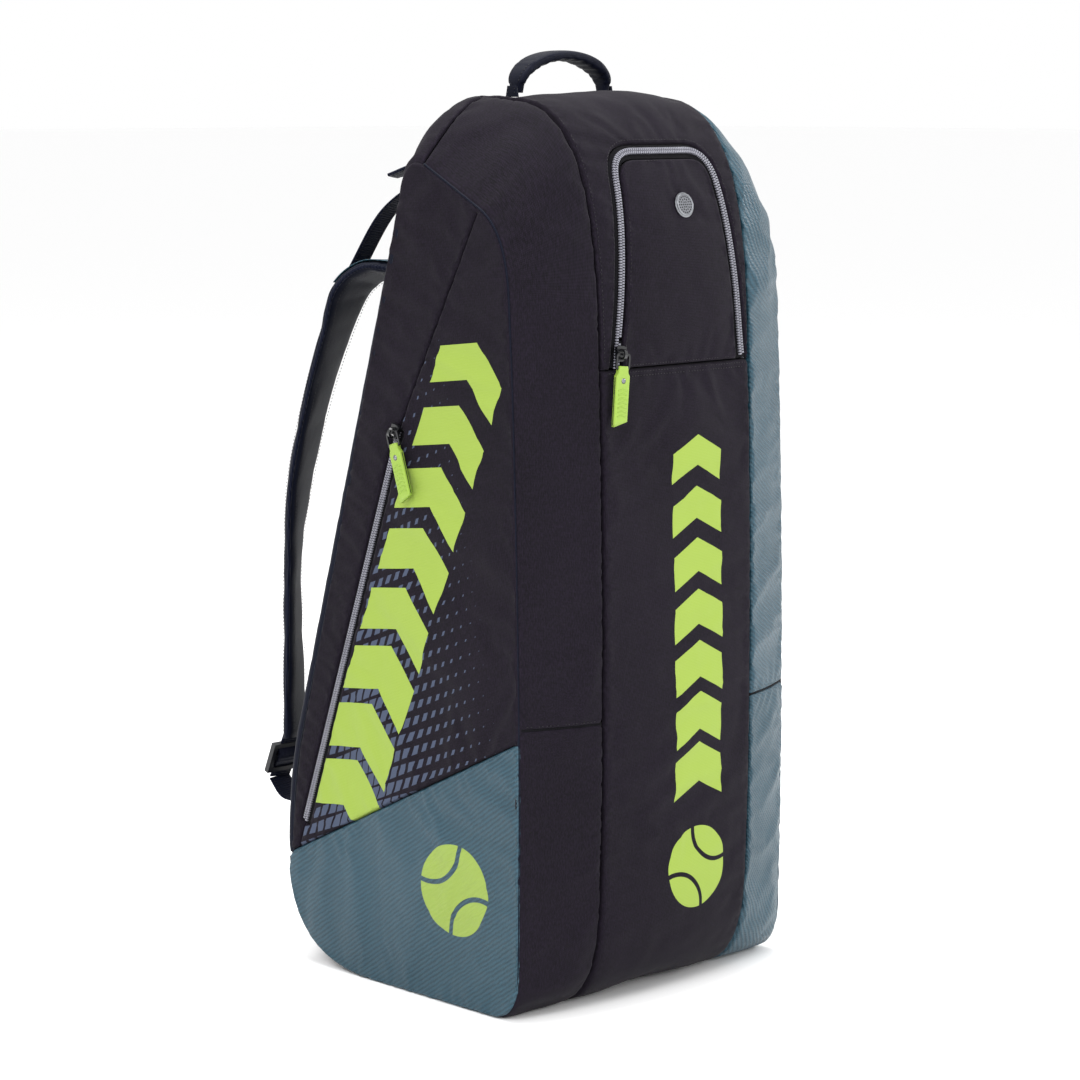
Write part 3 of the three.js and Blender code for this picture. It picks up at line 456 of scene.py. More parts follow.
# The prints, in metres: where each starts, its upward and sideways directions and its sizes.
CHEVRONS_SIDE = {"kind": "chevrons", "start": (0, 0.064, 0.152), "up": (0, -0.382, 0.924),
                 "aside": (0, 0.924, 0.382), "length": 0.475, "half": 0.040, "rake": 0.55,
                 "pitch": 0.0595, "thick": (0.80, 0.56)}
CHEVRONS_FRONT = {"kind": "chevrons", "start": (0.019, 0, 0.186), "up": (0, 0, 1), "aside": (1, 0, 0),
                  "length": 0.318, "half": 0.030, "rake": 0.5, "pitch": 0.0455, "thick": (0.78, 0.56)}
BALL_SIDE = {"kind": "ball", "start": (0, -0.078, 0.101), "up": (0, 0.6, 0.8), "aside": (0, -0.8, 0.6),
             "plane": (0, 1, 1), "radius": 0.040, "seam": 0.0022}
BALL_FRONT = {"kind": "ball", "start": (0.019, 0, 0.110), "up": (0.6, 0, 0.8), "aside": (-0.8, 0, 0.6),
              "plane": (1, 0, 1), "radius": 0.036, "seam": 0.0020}
SHELF = {}


def finish(name):
    """The named material, made when it is first asked for."""
    if name not in SHELF:
        SHELF[name] = RECIPES[name]()
    return SHELF[name]


def polyester(name, **more):
    """600-denier polyester: dull aubergine-black; its 0.6 mm threads are drawn at 1.3 mm to show."""
    return woven(name, colours().black, colours().black_fleck, 1.3, 0.80, **more)


def ripstop(name, **more):
    """Ripstop nylon: a satin ground with raised diagonal ribs, which catch the light as fine lines."""
    return woven(name, colours().teal, colours().teal_rib, 1.1, 0.36, rib={"turn": 34, "pitch": 3.6},
                 sheen=0.0, shine=0.36, relief=0.34, fleck=0.25, **more)


RECIPES = {
    # black cloth, with paler flecks that break up its flat colour
    "polyester": lambda: polyester("black polyester, woven"),
    # the same cloth with matt lime bars and grey-blue dots, raised a little by the ink
    "polyester_dots": lambda: polyester("black polyester, screen printed", prints=(CHEVRONS_SIDE,),
                                        dots=True),
    # thicker rubber print on the front, with an edge that catches the light
    "polyester_front": lambda: polyester("black polyester, rubber printed",
                                         prints=(CHEVRONS_FRONT, BALL_FRONT)),
    # teal cloth with fine slanting lines and a satin shine
    "ripstop": lambda: ripstop("teal ripstop nylon"),
    # the same teal under the printed ball
    "ripstop_print": lambda: ripstop("teal ripstop nylon, printed", prints=(BALL_SIDE,)),
    # taffeta: thin smooth lining with a faint shine
    "taffeta": lambda: woven("grey taffeta, calendered", colours().lining, paint("363a43"), 0.9, 0.6,
                             relief=0.06),
    # strap cloth: dense navy-black nylon
    "strap_cloth": lambda: woven("navy nylon, woven", colours().strap, paint("0a0e20"), 1.2, 0.62,
                                 sheen=0.02, shine=0.12),
    # webbing: coarse cross ribs, a little shiny
    "webbing": lambda: woven("nylon webbing", colours().strap, paint("0b1024"), 1.6, 0.6, relief=0.3,
                             rib={"turn": 0, "pitch": 2.4}),
    # zip tape: a flat dark border beside the teeth
    "tape": lambda: woven("zip tape, polyester", paint("050507"), paint("100f14"), 1.0, 0.78, relief=0.15),
    # bonded thread: small raised glints along the seams
    "thread": lambda: moulded("sewing thread, bonded", paint("0a080c"), paint("19161d"), 0.6, 0.4),
    # the same thread dyed to the teal cloth
    "thread_teal": lambda: moulded("sewing thread, teal", paint("314851"), paint("4a616a"), 0.55, 0.4),
    # nylon coil: silver-grey drawn filament
    "coil": lambda: moulded("zip coil, nylon", colours().coil, paint("888892"), 0.4, 0.3, ior=1.53),
    # black enamel: small sharp glints on the sliders and rings
    "enamel": lambda: moulded("zinc casting, black enamel", paint("07080a"), paint("0f1014"), 0.28, 0.8,
                              coat=0.5),
    # soft rubber: even lime with a dull sheen
    "rubber": lambda: moulded("soft rubber, moulded", colours().lime, paint("85aa2f"), 0.5, 0.5, ior=1.52),
    # brushed aluminium: a bright rim drawn out by fine lines
    "brushed": lambda: moulded("aluminium, brushed", colours().metal, paint("717378"), 0.34, 0.5,
                               metallic=1.0, brushed=True),
    # stamped mesh: mid-grey between its holes
    "vent_grille": lambda: moulded("vent mesh, stamped steel", paint("56585e"), paint("6b6d73"), 0.45, 0.3,
                                   ior=1.5),
    # near-black: painted shade that stands in for the vent's open holes, also used for the thin lines along
    # the pull tab's edges
    "hole_shade_and_tab_edge": lambda: moulded("near-black, painted hole shade and tab edge lines", paint("050506"), paint("0e0e11"), 0.9, 0.6),
    # acetal: smooth, slightly shiny buckle plastic
    "acetal": lambda: moulded("acetal, moulded", paint("090b0f"), paint("14161d"), 0.36, 0.4, ior=1.48),
    # hardboard: matt brown-grey base boards
    "hardboard": lambda: moulded("fibreboard, pressed", paint("2d2e31"), paint("3b3a38"), 0.75, 0.9),
}


# ---- mesh building --------------------------------------------------------------------------
class Piece:
    """Collects the parts of one mesh, in millimetres, with each point's place in its cloth."""

    def __init__(self):
        self.points, self.faces, self.finish, self.cloth = [], [], [], []

    def add(self, points, faces, finish=0, cloth=None):
        start = len(self.points)
        self.points.extend(np.asarray(points, float).tolist())
        self.faces.extend([[start + int(i) for i in face] for face in faces])
        self.finish.extend([finish] * len(faces))
        self.cloth.extend(np.asarray(points if cloth is None else cloth, float).tolist())

    def make(self, name, finishes, body, slot, nodes=(), fill=None, smooth=True):
        mesh = bpy.data.meshes.new(name)
        points = np.array(self.points)
        points[:, 2] = np.maximum(points[:, 2], FLOOR_GAP)
        mesh.from_pydata((points * MM).tolist(), [], self.faces)
        mesh.polygons.foreach_set("material_index", self.finish)
        mesh.polygons.foreach_set("use_smooth", [smooth] * len(self.faces))
        cloth = mesh.attributes.new("cloth", "FLOAT_VECTOR", "POINT")
        cloth.data.foreach_set("vector", (np.array(self.cloth) * MM).ravel())
        for key in finishes:
            mesh.materials.append(finish(key))
        mesh.update()
        made = bpy.data.objects.new(name, mesh)
        bpy.context.scene.collection.objects.link(made)
        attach(made, body)
        if nodes:
            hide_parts(*nodes)
        return made


def hem(corners, step):
    """A closed outline with points at most a step apart."""
    corners = np.asarray(corners, float)
    out = []
    for a, b in zip(corners, np.roll(corners, -1, axis=0)):
        n = max(1, math.ceil(np.linalg.norm(b - a) / step - 1e-6))
        out.extend(a + (b - a) * k / n for k in range(n))
    return np.array(out)


def signed_area(loop):
    """Area of an outline, above zero when it runs anticlockwise."""
    nxt = np.roll(loop, -1, axis=0)
    return float(np.sum(loop[:, 0] * nxt[:, 1] - loop[:, 1] * nxt[:, 0])) / 2


def to_edge(points, loops):
    """Distance to the nearest outline, and how far along the outlines that is."""
    best, along, start = np.full(len(points), 1e9), np.zeros(len(points)), 0.0
    for loop in loops:
        a, b = loop, np.roll(loop, -1, axis=0)
        way = b - a
        size = np.linalg.norm(way, axis=1)
        run = start + np.concatenate([[0], np.cumsum(size)[:-1]])
        for first in range(0, len(points), 3000):
            p = points[first : first + 3000]
            t = np.clip(((p[:, None] - a) * way).sum(2) / (size**2 + 1e-12), 0, 1)
            d = np.linalg.norm(p[:, None] - (a + way * t[..., None]), axis=2)
            k = d.argmin(1)
            near = d[np.arange(len(p)), k]
            better = near < best[first : first + 3000]
            best[first : first + 3000] = np.where(better, near, best[first : first + 3000])
            place = run[k] + t[np.arange(len(p)), k] * size[k]
            along[first : first + 3000] = np.where(better, place, along[first : first + 3000])
        start += float(size.sum())
    return best, along


def inside(points, loops):
    """Which points lie inside the outer outline and outside its holes."""
    hit = np.zeros(len(points), bool)
    for loop in loops:
        a, b = loop, np.roll(loop, -1, axis=0)
        for first in range(0, len(points), 4000):
            p = points[first : first + 4000]
            span = (a[:, 1] > p[:, None, 1]) != (b[:, 1] > p[:, None, 1])
            cross = a[:, 0] + (p[:, None, 1] - a[:, 1]) * (b[:, 0] - a[:, 0]) / (b[:, 1] - a[:, 1] + 1e-12)
            hit[first : first + 4000] ^= (span & (p[:, None, 0] < cross)).sum(1) % 2 == 1
    return hit


def inset(loop, loops, off):
    """Points moved from an outline into the cloth, and which of them are clear of every outline."""
    ahead, behind = np.roll(loop, -1, axis=0), np.roll(loop, 1, axis=0)
    way = ahead - behind
    way /= np.linalg.norm(way, axis=1)[:, None] + 1e-9
    moved = loop + np.column_stack([-way[:, 1], way[:, 0]]) * off
    return moved, to_edge(moved, loops)[0] > 0.9 * off


def pattern(loops, step, rows=(1.0, 2.2, 3.8)):
    """A flat pattern piece: its points, triangles, distance to the edge and place along it."""
    loops = [hem(loop, step) for loop in loops]
    loops = [loop if (signed_area(loop) > 0) == (k == 0) else loop[::-1] for k, loop in enumerate(loops)]
    extra = []
    for off in rows:
        for loop in loops:
            moved, clear = inset(loop, loops, off)
            extra.append(moved[clear])
    low, high = loops[0].min(0), loops[0].max(0)
    us = np.arange(low[0] + step / 2, high[0], step)
    vs = np.arange(low[1] + step / 2, high[1], step * 0.87)
    grid = np.array([(u + (step / 2 if k % 2 else 0), v) for k, v in enumerate(vs) for u in us])
    grid = grid[inside(grid, loops)] if len(grid) else grid
    if len(grid):
        extra.append(grid[to_edge(grid, loops)[0] > rows[-1] + 0.55 * step])
    edges, start = [], 0
    for loop in loops:
        n = len(loop)
        edges.extend((start + k, start + (k + 1) % n) for k in range(n))
        start += n
    points = np.vstack(loops + [e for e in extra if len(e)])
    verts, _, faces, *_ = delaunay_2d_cdt([Vector(p) for p in points.tolist()], edges, [], 0, 1e-4)
    flat = np.array([(v.x, v.y) for v in verts])
    faces = np.array([f for f in faces if len(f) == 3])
    faces = faces[inside(flat[faces].mean(1), loops)]
    d, s = to_edge(flat, loops)
    return flat, faces, d, s, loops


def rolled(d, roll):
    """Depth of the outer face where it turns down into its seams."""
    left = np.clip(1 - d / roll, 0, 1)
    return roll * (1 - np.sqrt(np.clip(1 - left**2, 0, 1)))


def ripple(u, v, size, seed):
    """Smooth noise over two coordinates, with a feature size."""
    return np.array([noise.noise(Vector((p / size, q / size, seed))) for p, q in zip(u, v)])


def creased(seed, crease=1.0, pucker=1.0, reach=13.0, gather=9.0, extra=None):
    """Relief of a panel: slow creases over it and gathers that fade away from the seams."""
    def relief(a, b, d, s):
        tall, small = sizes().crease / MM * crease, sizes().pucker / MM * pucker
        lift = tall * ripple(a, b * 0.7, 62, seed) + 0.45 * tall * ripple(a, b, 24, seed + 3)
        lift = lift * np.clip(d / 12, 0, 1)
        lift += small * np.exp(-d / reach) * ripple(s, d * 0.25, gather, seed + 7) * np.clip(d / 2, 0, 1)
        if extra is not None:
            lift += extra(a, b, d, s) * np.clip(d / 4, 0, 1)
        return lift
    return relief


def seam_stitches(piece, spots, outs, finish):
    """Raised stitches along a line of points."""
    run = run_along(spots)
    pitch = sizes().stitch_pitch / MM
    for k in range(int(run[-1] / pitch)):
        ends = [k * pitch + 0.4, k * pitch + pitch - 0.5]
        a, b = [blend_at(run, spots, end) for end in ends]
        out = blend_at(run, outs, ends[0])
        way = b - a
        aside = np.cross(way, out)
        aside /= np.linalg.norm(aside) + 1e-9
        middle = (a + b) / 2
        ring = [middle + aside * 0.42, middle + out * 0.42, middle - aside * 0.42, middle - out * 0.3]
        sides = [(0, 2, 3), (0, 3, 4), (0, 4, 5), (0, 5, 2), (1, 3, 2), (1, 4, 3), (1, 5, 4), (1, 2, 5)]
        piece.add([a, b, *ring], sides, finish)


def open_edges(faces):
    """Edges that only one triangle uses, in that triangle's order."""
    edges = {(int(f[k]), int(f[(k + 1) % 3])) for f in faces for k in range(3)}
    return [(i, j) for i, j in edges if (j, i) not in edges]


def sew(name, loops, place, finishes, body, slot, nodes, relief=None, roll=None, wall=None, step=None,
        stitches=(), fill=0.25, where=None, swell=2.6):
    """A padded panel cut to a flat pattern and laid on the bag; swell is how far its padding rises."""
    wall = wall or sizes().wall / MM
    roll = roll or sizes().seam_roll / MM
    step = step or sizes().cloth_step / MM
    flat, faces, d, s, loops = pattern(loops, step)
    a, b = flat[:, 0], flat[:, 1]
    lift = relief(a, b, d, s) if relief else np.zeros(len(a))
    outer = place(a, b, rolled(d, roll) - lift)
    inner = place(a, b, np.full(len(a), max(wall, roll + 0.6)))
    n = len(a)
    p, q, r = [outer[faces[:, k]] for k in range(3)]
    if np.sum(np.cross(q - p, r - p) * (outer - inner)[faces[:, 0]]) < 0:
        faces = faces[:, ::-1]
    piece = Piece()
    tag = np.column_stack([a, b, d])
    rim = [(j, i, i + n, j + n) for i, j in open_edges(faces)]
    piece.add(np.vstack([outer, inner]), [*faces.tolist(), *rim], 0, np.vstack([tag, tag]))
    start = len(piece.faces)
    piece.faces.extend([[int(i) + n for i in f[::-1]] for f in faces])
    piece.finish.extend([1] * (len(piece.faces) - start))
    for off in stitches:
        for loop in loops:
            moved, clear = inset(loop, loops, off)
            if where is not None:
                clear &= where(moved)
            dd, ss = to_edge(moved, loops)
            up = relief(moved[:, 0], moved[:, 1], dd, ss) if relief else 0
            spots = place(moved[:, 0], moved[:, 1], rolled(dd, roll) - up - 0.15)
            outs = spots - place(moved[:, 0], moved[:, 1], rolled(dd, roll) - up + 0.85)
            for run in np.split(np.arange(len(moved)), np.flatnonzero(~clear)):
                run = run[clear[run]]
                if len(run) > 2:
                    seam_stitches(piece, spots[run], outs[run], 2)
    made = piece.make(name, finishes, body, slot, nodes, fill)
    if swell:
        settle(made, np.concatenate([d < 1.6, np.ones(n, bool)]), 0.5, swell)
    return made


def loft(piece, rings, finish=0, tags=None, closed=False):
    """Skins rings that have the same number of points, and caps the ends."""
    count, sides = len(rings), len(rings[0])
    at = lambda i, j: (i % count) * sides + j % sides
    faces = [(at(i, j), at(i, j + 1), at(i + 1, j + 1), at(i + 1, j))
             for i in range(count if closed else count - 1) for j in range(sides)]
    if not closed:
        faces += [tuple(range(sides))[::-1], tuple(at(count - 1, j) for j in range(sides))]
    piece.add(np.vstack(rings), faces, finish, tags)


def tube(piece, path, radius, sides=8, finish=0, closed=False):
    """A round cord along points."""
    path = np.asarray(path, float)
    way = np.roll(path, -1, axis=0) - np.roll(path, 1, axis=0) if closed else np.gradient(path, axis=0)
    way /= np.linalg.norm(way, axis=1)[:, None] + 1e-9
    side = np.cross(way[0], [0.3, 0.5, 0.8])
    rings = []
    for p, t in zip(path, way):
        side = side - t * side.dot(t)
        side /= np.linalg.norm(side)
        up = np.cross(t, side)
        turn = np.linspace(0, 2 * math.pi, sides, endpoint=False)[:, None]
        rings.append(p + radius * (np.cos(turn) * side + np.sin(turn) * up))
    loft(piece, rings, finish, closed=closed)


def catmull(points, samples):
    """The smooth curve through points that the frame's straps follow, and its direction."""
    p = [np.asarray(q, float) for q in points]
    n = len(p) - 1
    out = []
    for t in np.linspace(0, n, samples):
        k = min(int(t), n - 1)
        w = t - k
        p1, p2 = p[k], p[k + 1]
        p0 = p[k - 1] if k > 0 else 2 * p[0] - p[1]
        p3 = p[k + 2] if k + 2 <= n else 2 * p[n] - p[n - 1]
        pairs = ((p0, p1), (p1, p2), (p2, p3))
        d0, d1, d2 = [max(float(np.sum((b - a) ** 2)) ** 0.25, 1e-4) for a, b in pairs]
        t1 = ((p1 - p0) / d0 - (p2 - p0) / (d0 + d1) + (p2 - p1) / d1) * d1
        t2 = ((p2 - p1) / d1 - (p3 - p1) / (d1 + d2) + (p3 - p2) / d2) * d1
        out.append(p1 + t1 * w + (-3 * p1 + 3 * p2 - 2 * t1 - t2) * w**2 + (2 * p1 - 2 * p2 + t1 + t2) * w**3)
    out = np.array(out)
    return out, unit(np.gradient(out, axis=0))


def band(path, samples):
    """Places, width directions, face normals and widths along a strap."""
    spots, way = catmull([p["at"] for p in path], samples)
    t = np.linspace(0, len(path) - 1, samples)
    mixed = lambda values: np.column_stack([np.interp(t, range(len(path)), v) for v in np.array(values).T])
    across = mixed([p["across"] for p in path])
    across -= way * (across * way).sum(1)[:, None]
    across = unit(across)
    width = np.interp(t, range(len(path)), [p["width"] for p in path])
    return spots, across, np.cross(way, across), width


def strap_body(piece, spots, across, out, width, thick, square=0.35, sides=20, finish=0, bulge=None):
    """A closed strap with rounded edges. bulge(row, turn) adds to its thickness."""
    turn = np.linspace(0, 2 * math.pi, sides, endpoint=False)
    u = np.sign(np.cos(turn)) * np.abs(np.cos(turn)) ** square
    v = np.sign(np.sin(turn)) * np.abs(np.sin(turn)) ** 0.7
    run = run_along(spots)
    rows, tags = [], []
    for k, (p, w, n, size) in enumerate(zip(spots, across, out, width)):
        h = thick / 2 * v * (1 + (bulge(k, turn) if bulge is not None else 0))
        rows.append(p + np.outer(u * size / 2, w) + np.outer(h, n))
        tags.append(np.column_stack([u * size / 2, np.full(sides, run[k]), (1 - np.abs(u)) * size / 2]))
    loft(piece, rows, finish, np.vstack(tags))


def settle(piece, held, pressure, cap, frames=14, slack=0.03):
    """Lets padding swell in a cloth simulation, keeps the result and no simulation.

    held picks the sewn points, cap is the most that a point may move, in millimetres, and slack
    is the share by which the cloth is larger than its place, which puckers it beside its seams."""
    mesh, scene = piece.data, bpy.context.scene
    rest = np.zeros(len(mesh.vertices) * 3)
    mesh.vertices.foreach_get("co", rest)
    rest = rest.reshape(-1, 3)
    group = piece.vertex_groups.new(name="sewn")
    if callable(held):
        held = held(rest / MM)
    held = np.concatenate([held, np.ones(len(rest) - len(held), bool)])
    group.add(np.flatnonzero(held).tolist(), 1.0, "REPLACE")
    cloth = piece.modifiers.new("swell", "CLOTH")
    cloth.settings.vertex_group_mass = "sewn"
    cloth.settings.use_pressure = True
    cloth.settings.uniform_pressure_force = pressure
    cloth.settings.shrink_min = -slack
    cloth.settings.bending_stiffness = 0.3
    cloth.settings.effector_weights.gravity = 0
    cloth.collision_settings.use_collision = False
    cloth.point_cache.frame_start, cloth.point_cache.frame_end = 1, frames
    for step in range(1, frames + 1):
        scene.frame_set(step)
    shaped = piece.evaluated_get(bpy.context.evaluated_depsgraph_get()).to_mesh()
    now = np.zeros(len(rest) * 3)
    shaped.vertices.foreach_get("co", now)
    move = now.reshape(-1, 3) - rest
    size = np.linalg.norm(move, axis=1)
    move *= (cap * MM / (cap * MM + size))[:, None]
    piece.modifiers.remove(cloth)
    scene.frame_set(1)
    mesh.vertices.foreach_set("co", (rest + move).ravel())
    mesh.update()


# ---- panels of the shell --------------------------------------------------------------------
def clip_to(shape, convex):
    """The part of a polygon inside a convex, anticlockwise one."""
    shape = [np.array(p, float) for p in shape]
    for a, b in zip(convex, np.roll(convex, -1, axis=0)):
        n = np.array([-(b - a)[1], (b - a)[0]])
        kept = []
        for p, q in zip(shape, shape[1:] + shape[:1]):
            dp, dq = n.dot(p - a), n.dot(q - a)
            if dp >= 0:
                kept.append(p)
            if (dp >= 0) != (dq >= 0):
                kept.append(p + (q - p) * dp / (dp - dq))
        shape = kept
    clean = [p for p, q in zip(shape, shape[1:] + shape[:1]) if np.linalg.norm(p - q) > 0.05]
    return np.array(clean)


def hull(points):
    """The convex outline round points, anticlockwise."""
    points = sorted(map(tuple, points))
    halves = []
    for order in (points, points[::-1]):
        chain = []
        for p in order:
            while len(chain) > 1 and ((chain[-1][0] - chain[-2][0]) * (p[1] - chain[-2][1])
                                      - (chain[-1][1] - chain[-2][1]) * (p[0] - chain[-2][0])) <= 0:
                chain.pop()
            chain.append(p)
        halves += chain[:-1]
    return np.array(halves)


def side_outline():
    """Rim of a side panel in (y, z), anticlockwise."""
    marks = np.concatenate([np.linspace(k, k + 1, 12, endpoint=False) for k in range(9)])
    rim = np.column_stack([np.interp(marks, SIDE[:, 0], SIDE[:, k]) for k in (1, 2)])
    rim[0] = (BACK_FOOT[0] - 8.6, BACK_FOOT[1])
    rim = np.vstack([rim, [BACK_SHOULDER[0] - 9, BACK_SHOULDER[1]]])
    back = BACK_PATH[5:41] - BACK_OUT * 8.6
    return hull(np.vstack([rim[1:], back]))


def beside_zip(run, off):
    """The (y, z) point a run down the side zip and off to its rear."""
    return ZIP_TOP + ZIP_DOWN * run + np.array([-ZIP_DOWN[1], ZIP_DOWN[0]]) * off


def side_shapes():
    """The three pattern pieces of a side panel."""
    seam = lambda y, up: (y, SEAM_FRONT[1] + (y - SEAM_FRONT[0]) / (SEAM_REAR[0] - SEAM_FRONT[0])
                          * (SEAM_REAR[1] - SEAM_FRONT[1]) + up)
    top = np.array(SEAM_UPPER)
    tail = ZIP_LENGTH + 60
    half = lambda sign: [top + (sign * 0.2, 60), top + (sign * 0.2, 0), beside_zip(0, sign * 0.2),
                         beside_zip(0, sign * ZIP_BAND), beside_zip(ZIP_LENGTH, sign * ZIP_BAND),
                         beside_zip(ZIP_LENGTH, sign * 0.2), beside_zip(tail, sign * 0.2)]
    above = np.array([seam(-240, 0.2), seam(240, 0.2), (240, 900), (-240, 900)])
    rim = side_outline()
    rear = clip_to(clip_to([*half(1), (300, 0), (300, 900)], above), rim)
    printed = clip_to(clip_to([*half(-1), (-300, 0), (-300, 900)], above), rim)
    base = clip_to([seam(240, -0.2), seam(-240, -0.2), (-240, -60), (240, -60)], rim)
    return {"rear": rear, "print": printed, "base": base}


def rectangle(a0, a1, b0, b1):
    return np.array([(a0, b0), (a1, b0), (a1, b1), (a0, b1)], float)


SIDES = ((-1, "left"), (1, "right"))


class BagSidePanels(bpy.types.Operator):
    """Sews the rear, printed and base fields of both side panels"""

    bl_idname = "bag.side_panels"
    bl_label = "Side panels"

    def execute(self, context):
        shapes = side_shapes()
        for side, name in SIDES:
            body, place = f"{name}_cover", on_side(side)
            fields = (
                ("rear", "polyester", "thread", "black_fabric", creased(1.0 + side), ()),
                ("print", "polyester_dots", "thread", "print_fabric",
                 creased(2.0 + side, extra=self.gathers(1.2, 156, 34, 0.3, 5.1)), ()),
                ("base", "ripstop_print", "thread_teal", "teal_fabric",
                 creased(3.0 + side, 1.4, 1.3, extra=self.gathers(2.8, 150, 26, 0.25, 8.4)), (2.6,)),
            )
            for field, cloth, thread, slot, relief, stitches in fields:
                sew(f"side_{field}_cloth_{name}", [shapes[field]], place, (cloth, "taffeta", thread), body,
                    slot, [f"side_{field}_{name}"], relief, wall=5, fill=0.2, stitches=stitches)
            self.lining(name, body, place)
            piping = Piece()
            line = skin(np.linspace(HEEL + 0.02, NAPE - 0.01, 260), side * (HALF_WIDTH - 2.0), 2.6)
            tube(piping, line, 1.1, 7)
            piping.make(f"side_piping_{name}", ("strap_cloth",), body, "black_fabric")
        return {"FINISHED"}

    def gathers(self, height, seam, fade, slant, seed):
        """Gathers that run back from the front seam and fade over a distance."""
        def relief(a, b, d, s):
            near = np.exp(-np.maximum(a + seam, 0) / fade)
            return height * near * ripple(b, a * slant, 13, seed) * np.clip(d / 6, 0, 1)
        return relief

    def lining(self, name, body, place):
        """The lining behind the three fields, which closes the seams between them."""
        outline, clear = inset(side_outline(), [side_outline()], 2.4)
        behind = lambda a, b, depth: place(a, b, 6.4 + 0.2 * depth)
        sew(f"side_lining_{name}", [outline[clear]], behind, ("taffeta", "taffeta", "thread"), body,
            "lining", [], roll=0.4, wall=2, step=14, swell=0)


class BagGussets(bpy.types.Operator):
    """Sews the side gussets that run round the bag beside the main zips"""

    bl_idname = "bag.gussets"
    bl_label = "Gussets"

    def execute(self, context):
        place = on_skin(SIDE)
        waist = length_of(SIDE, WAIST)
        nape = length_of(SIDE, NAPE)
        brow = length_of(SIDE, BROW)
        roll = sizes().main_roll / MM
        for side, name in SIDES:
            cloth = "ripstop" if side > 0 else "polyester"
            thread = "thread_teal" if side > 0 else "thread"
            slot = "teal_fabric" if side > 0 else "black_fabric"
            x0, x1 = sorted((side * 163.6, side * (SEAM_X + SEAM_GAP)))

            def shoulder(a, b, d, s):
                """Gathers where the outer edge turns over the bag's shoulder."""
                near = np.exp(-((b - brow - 40) / 75) ** 2)
                outside = np.exp(-(164 - np.abs(a)) / 26)
                return 3.6 * near * outside * ripple(b, a * 0.2, 12, 3.7)

            def folds(a, b, d, s):
                """The shoulder's gathers with long soft folds across the satin cloth."""
                return shoulder(a, b, d, s) + 1.6 * ripple(a * 0.25, b, 26, 9.2) * np.clip(d / 10, 0, 1)

            extra = folds if side > 0 else shoulder
            sew(f"gusset_lower_cloth_{name}", [rectangle(x0, x1, 2, waist - 0.3)], place,
                (cloth, "taffeta", thread), f"{name}_cover", slot, [f"gusset_lower_{name}"],
                creased(4.0 + side, 1.2, 1.2, extra=extra), roll=roll)
            sew(f"gusset_upper_cloth_{name}", [rectangle(x0, x1, waist + 0.3, nape - 0.4)], place,
                (cloth, "taffeta", thread), f"{name}_cover", slot, [f"gusset_upper_{name}"],
                creased(5.0 + side, 1.3, 1.3, extra=extra), roll=roll, stitches=(2.8,),
                where=lambda p: p[:, 1] < waist + 8)
            cord = Piece()
            tube(cord, place(np.linspace(x0, x1, 24), np.full(24, waist), np.full(24, 4.6)), 2.4, 8)
            cord.make(f"gusset_seam_cord_{name}", ("tape",), f"{name}_cover", "black_fabric")
            sew(f"top_corner_cloth_{name}", [rectangle(x0, x1, nape + 0.4, SIDE[-1, 5] - 0.5)], place,
                ("polyester", "taffeta", "thread"), "carcass", "black_fabric", [f"top_corner_{name}"],
                creased(6.0 + side), roll=3)
        return {"FINISHED"}


class BagCentrePanels(bpy.types.Operator):
    """Sews the base, the front, the top round the pocket and the back panel"""

    bl_idname = "bag.centre_panels"
    bl_label = "Centre and back panels"

    def execute(self, context):
        place, half, roll = on_skin(CENTRE), SEAM_X - SEAM_GAP, sizes().main_roll / MM
        toe, sill = length_of(CENTRE, TOE), length_of(CENTRE, SILL)
        end = CENTRE[-1, 5]
        finishes = ("polyester", "taffeta", "thread")
        sew("centre_base_cloth", [rectangle(-half, half, 1, toe - 0.3)], place, finishes, "carcass",
            "black_fabric", ["centre_base"], creased(7.0, 0.4, 0.5), roll=roll, swell=0)
        sew("centre_front_cloth", [rectangle(-half, half, toe + 0.3, sill - 0.3)], place,
            ("polyester_front", "taffeta", "thread"), "carcass", "black_fabric", ["centre_front"],
            creased(8.0, 0.9, 1.0), roll=roll, stitches=(2.6, 6.0), where=lambda p: p[:, 1] > sill - 12)
        arch = pattern_arch(6.5)

        def bed(a, b, d, s):
            """The hollow that the folded handle lies in."""
            y = place(a, b, 0 * a)[:, 1]
            return -2.4 * np.exp(-(a / 66) ** 8 - ((y + 48) / 28) ** 4)

        corners = [(half, sill + 0.3), (half, end - 1), (-half, end - 1)]
        shape = np.vstack([[(-half, sill + 0.3)], arch, corners])
        sew("centre_top_cloth", [shape], place, finishes, "carcass", "black_fabric", ["centre_top"],
            creased(9.0, 1.1, 0.8, extra=bed), roll=3.4, stitches=(2.4,),
            where=lambda p: p[:, 1] < sill + 220)
        top = np.linspace(0, 1, 12)
        width = HALF_WIDTH + (SEAM_X + SEAM_GAP - HALF_WIDTH) * top
        crest = skin(END, width, 0)[:, 2] - 0.6
        up = np.interp(crest, BACK_PATH[:, 1], BACK_LENGTH)
        right = np.column_stack([width - 0.5, up])
        loop = np.vstack([[(-164.5, 1), (164.5, 1)], right, right[::-1] * (-1, 1)])
        quilt = lambda a, b, d, s: 2.2 * np.abs(np.sin(b / 46 * math.pi)) ** 0.35 * (np.abs(a) > 16) - 1.6
        sew("back_panel_cloth", [loop], on_back, ("strap_cloth", "taffeta", "thread"), "carcass",
            "black_fabric", ["back_panel"], creased(10.0, 0.6, 0.8, extra=quilt), wall=8, roll=4,
            stitches=(5,), fill=0.4, swell=0)
        seam = Piece()
        tube(seam, skin(END - 0.004, np.linspace(-SEAM_X, SEAM_X, 60), 4.6), 3.6, 8)
        seam.make("crest_seam_cord", ("tape",), "carcass", "black_fabric")
        return {"FINISHED"}


